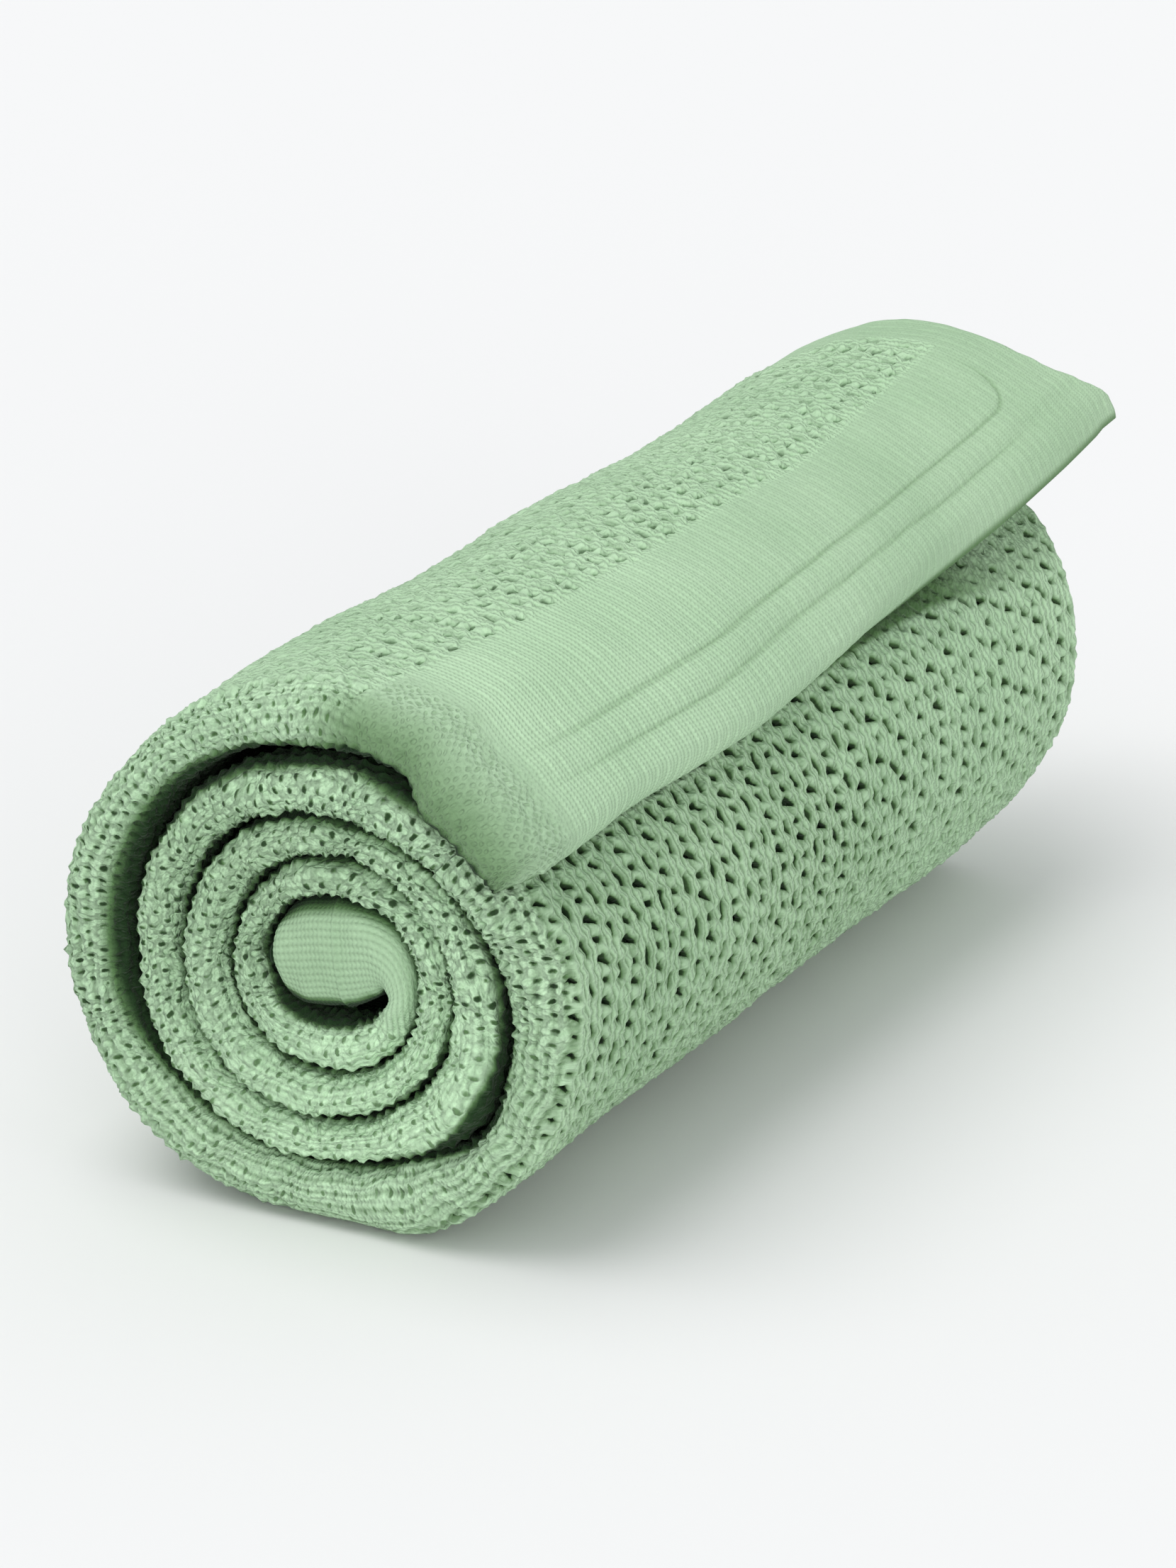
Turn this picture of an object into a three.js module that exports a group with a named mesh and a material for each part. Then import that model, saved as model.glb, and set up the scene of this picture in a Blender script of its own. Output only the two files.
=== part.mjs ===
// Rolled baby blanket in openwork cotton knit.
//
// One rectangle of cloth, about 75 cm wide and 87 cm long, is folded in three along
// its length: the outer third (C) runs down to the near end, turns there into the
// inner third (B), which runs back to the far end and turns into the middle third
// (A), tucked between the other two. The folded strip is then rolled up from one
// short end, so the near end shows a spiral of rounded fold crests around a plump
// core, and the last length of the strip lies over the roll as a flap whose far
// corner stands off the roll and past its end.
//
// Millimetres, +Z up, +Y along the roll away from the spiral end, and +X to the
// right of somebody who looks at the spiral end. The origin is at the centre of
// the bottom of the bounding box.

import * as THREE from 'three';

// ---------------------------------------------------------------- driving sizes

const CLOTH = 3.3;            // thickness of one layer of the knit
const LAYER_GAP = 0.6;        // least air between two layers of the folded strip
const AXIS_HEIGHT = 56;       // height of the spiral's centre above the surface
const NEAR_FRONT = -125;      // front of the fold crests at the near end
const NEAR_BULGE = 7;         // how far those crests round out along the roll
const FAR_CREST = 126;        // back of the fold crests at the far end
const FAR_BULGE = 5;
const FAR_EDGE = 127;         // where the outer third's free edge ends
const TUCKED_EDGE = -108;     // where the middle third's free edge ends
const CREASE_YS = [-90, -30, 50]; // sections along the roll, where the flap's skew changes
const FLAP_START = 30;        // angle of the hem of the flap, in degrees from +X
const STEP = 15;              // degrees between two sections of the roll
const FLAT_FROM = 255;        // the flat spot that the roll rests on
const FLAT_TO = 285;
const SHIFT = [3.03, -19.61]; // brings the centre of the bounding box to X = Y = 0

// Outer radius of each turn and the air under it, at eight compass angles,
// counted from +X over the top. The first turn is the outermost one.
const COMPASS = [45, 90, 135, 180, 225, 270, 315, 360];
const START_RADIUS = 59.0;    // at angle 0 of the outermost turn, where the flap begins
const START_GAP = 1.5;
const TURNS = [
  { turn: 'outermost', radius: [59.7, 59.5, 59.3, 62.6, 63.0, 56.0, 57.2, 56.9], gap: [1.5, 3.2, 3.0, 2.5, 1.2, 0.8, 2.0, 1.6] },
  { turn: 'third',     radius: [47.0, 43.3, 43.6, 44.9, 45.7, 42.6, 41.0, 38.1], gap: [0.7, 0.7, 1.0, 0.8, 0.6, 0.6, 0.6, 0.6] },
  { turn: 'second',    radius: [32.9, 30.8, 32.2, 33.6, 35.5, 33.0, 30.1, 27.8], gap: [0.6, 0.6, 0.9, 0.9, 0.6, 0.6, 0.6, 0.6] },
  { turn: 'innermost', radius: [25.1, 22.6, 21.3, 21.9, 23.8, 22.6, 21.5, 20.3], gap: [0.6, 0.6, 0.6, 0.6, 0.6, 0.6, 0.6, 0.6] },
];

// The core: here the strip turns in on itself and ends as a plump pad, so its
// inner side is no longer under its outer side. angle counts on from the turns.
const CORE = [
  { angle: 1260, outer: 21.9, innerAngle: 1260, inner: 15.3 },
  { angle: 1305, outer: 23.8, innerAngle: 1305, inner: 13.9 },
  { angle: 1350, outer: 22.6, innerAngle: 1350, inner: 11.9 },
  { angle: 1395, outer: 21.5, innerAngle: 1395, inner: 13.5 },
  { angle: 1440, outer: 20.3, innerAngle: 1422, inner: 14.1 },
  { angle: 1470, outer: 18.9, innerAngle: 1424, inner: 13.2 },
  { angle: 1500, outer: 16.0, innerAngle: 1408, inner: 12.0 },
  { angle: 1530, outer: 13.9, innerAngle: 1360, inner: 9.2 },
  { angle: 1560, outer: 13.6, innerAngle: 1324, inner: 10.8 },
  { angle: 1605, outer: 14.4, innerAngle: 1276, inner: 14.0 },
];

// The flap is skewed: its hem lies further round the roll towards the far end.
const SKEW_FADE = 40;         // degrees over which the skew dies away from the hem
const SKEW = [
  { y: -125, degrees: 2 },
  { y: -90,  degrees: -1.5 },
  { y: -30,  degrees: 0 },
  { y: 50,   degrees: 5 },
  { y: 104,  degrees: 10 },
  { y: 165,  degrees: 15 },
];

// How far the outer third runs past the far end, by angle, and how far its
// free corner lifts off the roll.
const OVERHANG = [
  { angle: 0,   length: 37 },
  { angle: 45,  length: 37 },
  { angle: 90,  length: 34 },
  { angle: 135, length: 14 },
  { angle: 180, length: 6 },
  { angle: 225, length: 3 },
  { angle: 270, length: 1 },
  { angle: 315, length: 0 },
  { angle: 1700, length: 0 },
];
const CORNER_LIFT = 4.5;
const LIFT_FROM = 96;         // along the roll
const LIFT_TO = 160;
const LIFT_ANGLES = [110, 200]; // the lift dies away between these angles

// ---------------------------------------------------------------- small helpers

const rad = (degrees) => degrees * Math.PI / 180;

// Smooth curve through a table's rows.
function curve(xs, ys) {
  const n = xs.length;
  const slope = ys.map((_, i) => {
    const a = Math.max(i - 1, 0);
    const b = Math.min(i + 1, n - 1);
    return (ys[b] - ys[a]) / (xs[b] - xs[a]);
  });
  return (x) => {
    if (x <= xs[0]) return ys[0] + slope[0] * (x - xs[0]);
    if (x >= xs[n - 1]) return ys[n - 1] + slope[n - 1] * (x - xs[n - 1]);
    let i = 0;
    while (x > xs[i + 1]) i += 1;
    const h = xs[i + 1] - xs[i];
    const t = (x - xs[i]) / h;
    return ys[i] * (2 * t ** 3 - 3 * t ** 2 + 1)
      + ys[i + 1] * (3 * t ** 2 - 2 * t ** 3)
      + h * slope[i] * (t ** 3 - 2 * t ** 2 + t)
      + h * slope[i + 1] * (t ** 3 - t ** 2);
  };
}

function ramp(x, from, to) {
  const t = Math.min(Math.max((x - from) / (to - from), 0), 1);
  return t * t * (3 - 2 * t);
}

// ---------------------------------------------------------------- the spiral

const flatRadius = (angle) => AXIS_HEIGHT / Math.abs(Math.sin(rad(angle)));

function spiralTables() {
  const angle = [0];
  const radius = [START_RADIUS];
  const gap = [START_GAP];
  TURNS.forEach((turn, k) => {
    COMPASS.forEach((at, i) => {
      if (k === 0 && at === 270) { // the flat spot stands for the lowest point
        angle.push(FLAT_FROM, FLAT_TO);
        radius.push(flatRadius(FLAT_FROM), flatRadius(FLAT_TO));
        gap.push(turn.gap[i], turn.gap[i]);
        return;
      }
      angle.push(360 * k + at);
      radius.push(turn.radius[i]);
      gap.push(turn.gap[i]);
    });
  });
  CORE.filter((row) => row.angle > 1440).forEach((row) => {
    angle.push(row.angle);
    radius.push(row.outer);
    gap.push(0.6);
  });
  return { outer: curve(angle, radius), gap: curve(angle, gap) };
}

const spiral = spiralTables();
const coreInner = curve(CORE.map((r) => r.angle), CORE.map((r) => r.inner));
const coreInnerAngle = curve(CORE.map((r) => r.angle), CORE.map((r) => r.innerAngle));
const skewAt = curve(SKEW.map((r) => r.y), SKEW.map((r) => r.degrees));
const overhangAt = curve(OVERHANG.map((r) => r.angle), OVERHANG.map((r) => r.length));

function outerRadius(angle) {
  if (angle >= FLAT_FROM && angle <= FLAT_TO) return flatRadius(angle);
  return spiral.outer(angle);
}

// The outer and inner side of the folded strip at an angle, as points (x, z).
function rib(angle) {
  const at = (degrees, radius) => [radius * Math.cos(rad(degrees)), AXIS_HEIGHT + radius * Math.sin(rad(degrees))];
  const outer = at(angle, outerRadius(angle));
  const inner = angle < 1260
    ? at(angle, outerRadius(angle + 360) + spiral.gap(angle))
    : at(coreInnerAngle(angle), coreInner(angle));
  return { outer, inner, thickness: Math.hypot(outer[0] - inner[0], outer[1] - inner[1]) };
}

// ---------------------------------------------------------------- the folded strip

// The outline of the folded strip's section at an angle: points with y along the
// roll and depth under the strip's outer side. third is the layer that a point
// belongs to.
function section(angle) {
  const t = rib(angle).thickness;
  const cloth = Math.min(CLOTH, (t - 2 * LAYER_GAP) / 3);
  const air = (t - 3 * cloth) / 2;
  const near = NEAR_FRONT + NEAR_BULGE;
  const far = FAR_CREST - FAR_BULGE;
  const over = overhangAt(angle);
  const edge = FAR_EDGE + over;
  const outline = [];
  const add = (third, y, depth) => outline.push({ third, y, depth });
  const arc = (third, y, middle, half, bulge, degrees) => {
    degrees.forEach((d) => add(third, y + bulge * Math.sin(rad(d)), middle - half * Math.cos(rad(d))));
  };
  const ys = [near, ...CREASE_YS];                // along each third, from near to far
  const run = (third, along, depth) => along.forEach((y) => add(third, y, depth));
  const back = (list) => [...list].reverse();
  const aTop = cloth + air;                       // the middle third's two sides
  const aBottom = aTop + cloth;

  run('C', back([...ys, LIFT_FROM + 8, edge]), 0);
  arc('C', near, t / 2, t / 2, -NEAR_BULGE, [30, 60, 90, 120, 150]);
  run('B', [...ys, far], t);
  arc('B', far, (t + aTop) / 2, -(t - aTop) / 2, FAR_BULGE, [45, 90, 135]);
  run('A', back([TUCKED_EDGE, ...CREASE_YS, far]), aTop);
  run('A', [TUCKED_EDGE, ...CREASE_YS, far], aBottom);
  add('B', far + 0.8, (aBottom + t - cloth) / 2);
  run('B', back([...ys, far]), t - cloth);
  arc('B', near, t / 2, -(t / 2 - cloth), -(NEAR_BULGE - cloth), [45, 90, 135]);
  run('C', [...ys, LIFT_FROM + 8, edge], cloth);
  return outline;
}

function place(angle, point) {
  const fade = Math.exp(-(angle - FLAP_START) / SKEW_FADE);
  const turned = angle + skewAt(Math.min(point.y, 165)) * fade;
  const { outer, inner, thickness } = rib(turned);
  const own = rib(angle).thickness;
  const f = point.depth / own;
  const up = point.third === 'C'
    ? CORNER_LIFT * ramp(point.y, LIFT_FROM, LIFT_TO) * (1 - ramp(angle, ...LIFT_ANGLES))
    : 0;
  const dx = (inner[0] - outer[0]) / thickness;
  const dz = (inner[1] - outer[1]) / thickness;
  return [
    outer[0] + dx * (f * thickness - up) + SHIFT[0],
    point.y + SHIFT[1],
    Math.max(outer[1] + dz * (f * thickness - up), 0),
  ];
}

function rolledCloth() {
  const angles = [];
  for (let a = FLAP_START; a <= 1605; a += STEP) angles.push(a);
  const outlines = angles.map((a) => section(a));
  const size = outlines[0].length;
  const positions = [];
  angles.forEach((a, i) => outlines[i].forEach((p) => positions.push(...place(a, p))));

  const index = [];
  for (let i = 0; i + 1 < angles.length; i += 1) {
    for (let j = 0; j < size; j += 1) {
      const k = (j + 1) % size;
      const a = i * size + j;
      const b = i * size + k;
      const c = (i + 1) * size + k;
      const d = (i + 1) * size + j;
      index.push(a, b, c, a, c, d);
    }
  }
  // The two short ends of the strip, closed between the two sides of the cloth
  // section by section, the first facing back and the last on.
  const cap = (offset, onward) => {
    const c = CREASE_YS.length;
    const spans = [c + 2, 6, c + 1, 4, c + 1];      // third C, near fold, B, far fold, A
    const backSpans = [c + 2, 4, c + 1, 2, c + 1];
    let f = 0;
    let b = size - 1;
    spans.forEach((count, n) => {
      let i = 0;
      let j = 0;
      while (i < count || j < backSpans[n]) {
        const front = (i + 1) / count <= (j + 1) / backSpans[n];
        const tri = front ? [f + i, f + i + 1, b - j] : [f + i, b - j - 1, b - j];
        if (!onward) tri.reverse();
        index.push(...tri.map((v) => v + offset));
        if (front) i += 1;
        else j += 1;
      }
      f += count;
      b -= backSpans[n];
    });
  };
  cap(0, false);
  cap((angles.length - 1) * size, true);

  const geometry = new THREE.BufferGeometry();
  geometry.setAttribute('position', new THREE.Float32BufferAttribute(positions, 3));
  geometry.setIndex(index);
  outward(geometry);
  geometry.computeVertexNormals();
  return geometry;
}

// Turns all faces round if they point in.
function outward(geometry) {
  const p = geometry.attributes.position;
  const index = geometry.index.array;
  const [a, b, c] = [new THREE.Vector3(), new THREE.Vector3(), new THREE.Vector3()];
  let volume = 0;
  for (let i = 0; i < index.length; i += 3) {
    a.fromBufferAttribute(p, index[i]);
    b.fromBufferAttribute(p, index[i + 1]);
    c.fromBufferAttribute(p, index[i + 2]);
    volume += a.dot(b.cross(c)) / 6;
  }
  if (volume < 0) {
    for (let i = 0; i < index.length; i += 3) {
      [index[i + 1], index[i + 2]] = [index[i + 2], index[i + 1]];
    }
  }
}

// ---------------------------------------------------------------- the object

const cotton = new THREE.MeshStandardMaterial({ color: 0xaccfaa, roughness: 0.9, metalness: 0 });
const blanket = new THREE.Mesh(rolledCloth(), cotton);
blanket.name = 'blanket';

const group = new THREE.Group();
group.name = 'rolled_blanket';
group.add(blanket);

export default group;
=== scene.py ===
# Rolled baby blanket in openwork cotton knit: the knitted surface, its finish, the
# floor, light and camera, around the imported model. Lengths are millimetres until a
# mesh is made from them.

import bpy
import numpy as np
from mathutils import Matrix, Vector


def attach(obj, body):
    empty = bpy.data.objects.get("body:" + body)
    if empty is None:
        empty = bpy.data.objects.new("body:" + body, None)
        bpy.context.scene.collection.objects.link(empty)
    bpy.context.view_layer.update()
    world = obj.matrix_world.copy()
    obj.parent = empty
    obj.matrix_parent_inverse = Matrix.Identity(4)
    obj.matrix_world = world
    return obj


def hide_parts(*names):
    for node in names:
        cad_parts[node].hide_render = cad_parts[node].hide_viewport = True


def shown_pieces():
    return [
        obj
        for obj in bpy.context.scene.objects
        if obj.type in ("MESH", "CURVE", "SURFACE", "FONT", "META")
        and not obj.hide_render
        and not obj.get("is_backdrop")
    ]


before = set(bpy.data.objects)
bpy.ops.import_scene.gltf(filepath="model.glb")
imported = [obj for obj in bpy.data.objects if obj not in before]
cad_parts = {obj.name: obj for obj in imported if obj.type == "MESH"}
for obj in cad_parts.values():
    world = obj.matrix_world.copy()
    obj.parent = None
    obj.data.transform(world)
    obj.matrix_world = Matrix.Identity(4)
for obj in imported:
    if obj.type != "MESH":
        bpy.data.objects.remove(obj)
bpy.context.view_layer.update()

SEED = 7

# ------------------------------------------------------------------ sizes of the roll

CLOTH = 3.3                   # thickness of one layer
LAYER_GAP = 0.6
AXIS_HEIGHT = 56.0
NEAR_FRONT, NEAR_BULGE = -125.0, 7.0
FAR_CREST, FAR_BULGE = 126.0, 5.0
TUCKED_EDGE = -108.0
FLAP_START = 30.0
LAST_ANGLE = 1605.0
FLAT_FROM, FLAT_TO = 255.0, 285.0
SHIFT = (3.03, -19.61)
NEAR = NEAR_FRONT + NEAR_BULGE
FAR = FAR_CREST - FAR_BULGE

COMPASS = [45, 90, 135, 180, 225, 270, 315, 360]
START_RADIUS, START_GAP = 59.0, 1.5
TURNS = [
    dict(turn="outermost", radius=[59.7, 59.5, 59.3, 62.6, 63.0, 56.0, 57.2, 56.9], gap=[1.5, 3.2, 3.0, 2.5, 1.2, 0.8, 2.0, 1.6]),
    dict(turn="third", radius=[47.0, 43.3, 43.6, 44.9, 45.7, 42.6, 41.0, 38.1], gap=[0.7, 0.7, 1.0, 0.8, 0.6, 0.6, 0.6, 0.6]),
    dict(turn="second", radius=[32.9, 30.8, 32.2, 33.6, 35.5, 33.0, 30.1, 27.8], gap=[0.6, 0.6, 0.9, 0.9, 0.6, 0.6, 0.6, 0.6]),
    dict(turn="innermost", radius=[25.1, 22.6, 21.3, 21.9, 23.8, 22.6, 21.5, 20.3], gap=[0.6] * 8),
]
CORE = [  # angle, outer radius, angle of the inner side, its radius
    (1260, 21.9, 1260, 15.3), (1305, 23.8, 1305, 13.9), (1350, 22.6, 1350, 11.9),
    (1395, 21.5, 1395, 13.5), (1440, 20.3, 1422, 14.1), (1470, 18.9, 1424, 13.2),
    (1500, 16.0, 1408, 12.0), (1530, 13.9, 1360, 9.2), (1560, 13.6, 1324, 10.8),
    (1605, 14.4, 1276, 14.0),
]
SKEW_FADE = 40.0
SKEW = [(-125, 2), (-90, -1.5), (-30, 0), (50, 5), (104, 10), (165, 15)]      # y, degrees
CORNER_LIFT, LIFT_FROM, LIFT_TO, LIFT_ANGLES = 4.5, 96.0, 160.0, (110.0, 200.0)

# The outer third past the far end: its length from there to the free edge, and how
# far it is turned in over the end of the roll, by angle.
BEND_RADIUS = 5.0
BEND_FROM = [(0, 122), (350, 122), (356, 123), (365, 125), (375, 128), (380, 130), (385, 132), (390, 133.8), (395, 135), (420, 135), (450, 122), (1700, 122)]
FREE_LENGTH = [(0, 53), (31, 50.9), (38, 47.4), (44, 44.2), (53, 40.5), (60, 38.4), (72, 37.6), (80, 37.8), (90, 37.2), (120, 28), (150, 20),
               (180, 18), (404, 18), (470, 5), (1700, 5)]
TURNED_IN = [(0, 0), (100, 0), (135, 8), (180, 55), (225, 84), (260, 92), (400, 92), (470, 0), (1700, 0)]
# The loose end: how far its hem is moved round the roll along the hem, and how it
# slides out at the near end.
HEM_SHIFT = [(-130, -1.2), (-118, -1.6), (-98, 0.9), (-83, 2.1), (-70, 2.0), (-47, 0.4), (-24, -1.0), (0, -0.9), (36, -0.5),
             (64, -1.4), (89, -2.9), (102, -3.7), (116, -4.2), (140, -4.4), (160, -4.2), (175, -3.0)]
SLIDE, SAG = 5.0, 4.0

# ------------------------------------------------------------------ sizes of the knit

FOLD = 10.2                   # cloth from the tip of the near fold to the flat of the outer third
REPEAT = (11.05, 8.232)       # from a large opening to the next, along the roll and round it
WALE, COURSE = REPEAT[0] / 8, REPEAT[1] / 8      # one stitch
FIRST_HOLE = (8.7, 59.5)
HEM_ROLL = 13.7               # cloth in the rounded hem
LINES = (22.6, 30.6)          # the two stitched lines above the hem
SIDE_BAND = 15.0              # plain band along the free side edge
BORDER = [(-12, 61), (0, 61), (5, 61), (10, 61), (14, 61), (54, 57.5), (94, 55.5), (134, 55), (164, 54), (184, 52.5),
          (204, 53), (234, 55), (270, 56), (300, 57)]          # where the lace begins
ROW_WAVE = [(20, 3.75), (31, 3.75), (42, 3.5), (53, 2.75), (63, 2.2), (74, 1.2), (85, 0.1), (97, -0.5), (108, -0.5),
            (120, 0.2), (132, 1.75), (143, 3.2), (153, 4.75), (163, 6.1), (173, 6.7), (184, 6.9), (196, 7.5), (207, 8.7),
            (215, 11), (224, 13.7), (234, 16.4), (250, 18)]    # the rows' course on the front
DRIFT = [(20, -1.0), (50, -0.9), (85, 0.5), (110, -0.3), (143, -2.0), (184, -2.8), (230, -3.0)]

# ------------------------------------------------------------------ small helpers


def curve(xs, ys):
    """Smooth curve through a table's rows."""
    xs, ys = np.asarray(xs, float), np.asarray(ys, float)
    n = len(xs)
    before, after = np.maximum(np.arange(n) - 1, 0), np.minimum(np.arange(n) + 1, n - 1)
    slope = (ys[after] - ys[before]) / (xs[after] - xs[before])

    def at(x):
        x = np.asarray(x, float)
        i = np.clip(np.searchsorted(xs, x, side="left") - 1, 0, n - 2)
        h = xs[i + 1] - xs[i]
        t = (x - xs[i]) / h
        inside = (ys[i] * (2 * t**3 - 3 * t**2 + 1) + ys[i + 1] * (3 * t**2 - 2 * t**3)
                  + h * slope[i] * (t**3 - 2 * t**2 + t) + h * slope[i + 1] * (t**3 - t**2))
        return np.where(x <= xs[0], ys[0] + slope[0] * (x - xs[0]),
                        np.where(x >= xs[-1], ys[-1] + slope[-1] * (x - xs[-1]), inside))

    return at


def table(rows, x):
    return np.interp(x, [r[0] for r in rows], [r[1] for r in rows])


def ramp(x, start, end):
    t = np.clip((np.asarray(x, float) - start) / (end - start), 0, 1)
    return t * t * (3 - 2 * t)


def mix(a, b, t):
    return a + (b - a) * t


def waves(x, y, length, seed, count=7):
    """A smooth random field of about unit height and the given wavelength."""
    r = np.random.default_rng(SEED * 1000 + seed)
    out = np.zeros(np.broadcast(x, y).shape)
    for _ in range(count):
        turn, k, phase = r.uniform(0, 2 * np.pi), 2 * np.pi / (length * r.uniform(0.7, 1.5)), r.uniform(0, 2 * np.pi)
        out += np.sin(k * (np.cos(turn) * x + np.sin(turn) * y) + phase)
    return out / np.sqrt(count / 2)


def unit(v):
    return v / np.maximum(np.linalg.norm(v, axis=-1, keepdims=True), 1e-12)


# ------------------------------------------------------------------ the folded strip in space

_angle, _radius, _gap = [0.0], [START_RADIUS], [START_GAP]
for _k, _turn in enumerate(TURNS):
    for _i, _at in enumerate(COMPASS):
        if _k == 0 and _at == 270:
            for _a in (FLAT_FROM, FLAT_TO):
                _angle.append(_a)
                _radius.append(AXIS_HEIGHT / abs(np.sin(np.radians(_a))))
                _gap.append(_turn["gap"][_i])
            continue
        _angle.append(360.0 * _k + _at)
        _radius.append(_turn["radius"][_i])
        _gap.append(_turn["gap"][_i])
for _row in CORE:
    if _row[0] > 1440:
        _angle.append(_row[0])
        _radius.append(_row[1])
        _gap.append(0.6)
spiral_outer, spiral_gap = curve(_angle, _radius), curve(_angle, _gap)
core_inner = curve([r[0] for r in CORE], [r[3] for r in CORE])
core_inner_angle = curve([r[0] for r in CORE], [r[2] for r in CORE])
skew_at = curve([r[0] for r in SKEW], [r[1] for r in SKEW])


def outer_radius(angle):
    flat = (angle >= FLAT_FROM) & (angle <= FLAT_TO)
    return np.where(flat, AXIS_HEIGHT / np.maximum(np.abs(np.sin(np.radians(angle))), 0.1), spiral_outer(angle))


def rib(angle):
    """Outer and inner side of the strip at an angle, as (x, z), and the thickness."""
    def at(degrees, radius):
        return np.stack([radius * np.cos(np.radians(degrees)), AXIS_HEIGHT + radius * np.sin(np.radians(degrees))], -1)

    angle = np.asarray(angle, float)
    outer = at(angle, outer_radius(angle))
    inner = np.where((angle < 1260)[..., None],
                     at(angle, outer_radius(angle + 360) + spiral_gap(angle)),
                     at(core_inner_angle(angle), core_inner(angle)))
    return outer, inner, np.linalg.norm(inner - outer, axis=-1)


def place(angle, y, depth, lifted=0.0):
    """Points of the strip. depth is under its outer side; lifted is 1 on the outer third."""
    angle, y, depth = np.broadcast_arrays(np.asarray(angle, float), y, depth)
    turned = angle + skew_at(np.minimum(y, 165)) * np.exp(-(angle - FLAP_START) / SKEW_FADE)
    outer, inner, thick = rib(turned)
    own = rib(angle)[2]
    up = lifted * CORNER_LIFT * ramp(y, LIFT_FROM, LIFT_TO) * (1 - ramp(angle, *LIFT_ANGLES))
    step = (inner - outer) / thick[..., None] * (depth / own * thick - up)[..., None]
    return np.stack([outer[..., 0] + step[..., 0] + SHIFT[0], y + SHIFT[1],
                     np.maximum(outer[..., 1] + step[..., 1], -0.4)], -1)


# Length round the strip's outer side from the hem, by angle.
_fine = np.arange(0.0, LAST_ANGLE + 0.1, 0.25)
_o, _i, _t = rib(_fine)
_len = np.concatenate([[0], np.cumsum(np.linalg.norm(np.diff(_o, axis=0), axis=1))])
HEM_ANGLE = FLAP_START + 4.9  # where the rounded hem usually begins
_len = _len - np.interp(HEM_ANGLE, _fine, _len) + HEM_ROLL
_m = (_o + _i) / 2
_mid = np.concatenate([[0], np.cumsum(np.linalg.norm(np.diff(_m, axis=0), axis=1))])
FRONT_END = 404.0             # the outermost turn ends here, under the flap
_mid = _mid - np.interp(FRONT_END, _fine, _mid) + np.interp(FRONT_END, _fine, _len)


def length_at(angle):
    return np.interp(angle, _fine, _len)


def angle_at(s):
    return np.interp(s, _len, _fine)


def middle_length_at(angle):
    return np.interp(angle, _fine, _mid)


# ------------------------------------------------------------------ stitches and holes


def to_lattice(s, v):
    """Where a point lies in the knit itself, whose rows and columns waver on the roll."""
    front = ramp(s, 200, 330)
    n = 3 * np.tanh((38 - (s - FIRST_HOLE[1]) / REPEAT[1]) / 3)
    across = v - front * table(DRIFT, v) * n - 0.5 * waves(s, v, 47, 11)
    along = s - (1 - front) * (table(BORDER, v) + 2.2 - FIRST_HOLE[1]) - front * table(ROW_WAVE, v) - 0.5 * waves(s, v, 53, 12)
    return across, along


def from_lattice(across, along):
    s, v = along, across
    for _ in range(7):
        a, b = to_lattice(s, v)
        s, v = s + along - b, v + across - a
    return s, v


def jitter(i, k, channel):
    x = np.sin(i * 12.9898 + k * 78.233 + channel * 37.719 + SEED) * 43758.5453
    return (x - np.floor(x)) * 2 - 1


def sd_polygon(x, y, points):
    d = np.full(x.shape, 1e9)
    sign = np.ones(x.shape)
    n = len(points)
    for i in range(n):
        (ax, ay), (bx, by) = points[i], points[i - 1]
        ex, ey, wx, wy = bx - ax, by - ay, x - ax, y - ay
        t = np.clip((wx * ex + wy * ey) / (ex * ex + ey * ey), 0, 1)
        d = np.minimum(d, (wx - ex * t) ** 2 + (wy - ey * t) ** 2)
        c1, c2, c3 = y >= ay, y < by, ex * wy > ey * wx
        sign = np.where((c1 & c2 & c3) | (~c1 & ~c2 & ~c3), -sign, sign)
    return sign * np.sqrt(d)


def sd_slot(x, y, half, lean):
    """Distance to a line of the given half length, leaning from the way round the roll."""
    ux, uy = np.sin(lean), -np.cos(lean)
    t = np.clip(x * ux + y * uy, -half, half)
    return np.hypot(x - ux * t, y - uy * t)


LARGE = [(-1.65, 0.42), (1.62, -1.00), (0.15, 1.02)]
DOTS = (3.2, 2 * WALE)        # small dark eyes on the rounded folds: round the roll, along it
OPENINGS = [  # kind, place in the repeat, half the width that wales are pushed aside, how much painted shade inside
    ("large", (0.0, 0.0), 1.15, 1.0),
    ("slot", (6.0, -4.4), 0.95, 0.95),
    ("small", (0.6, -4.2), 0.85, 0.92),
]


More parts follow.
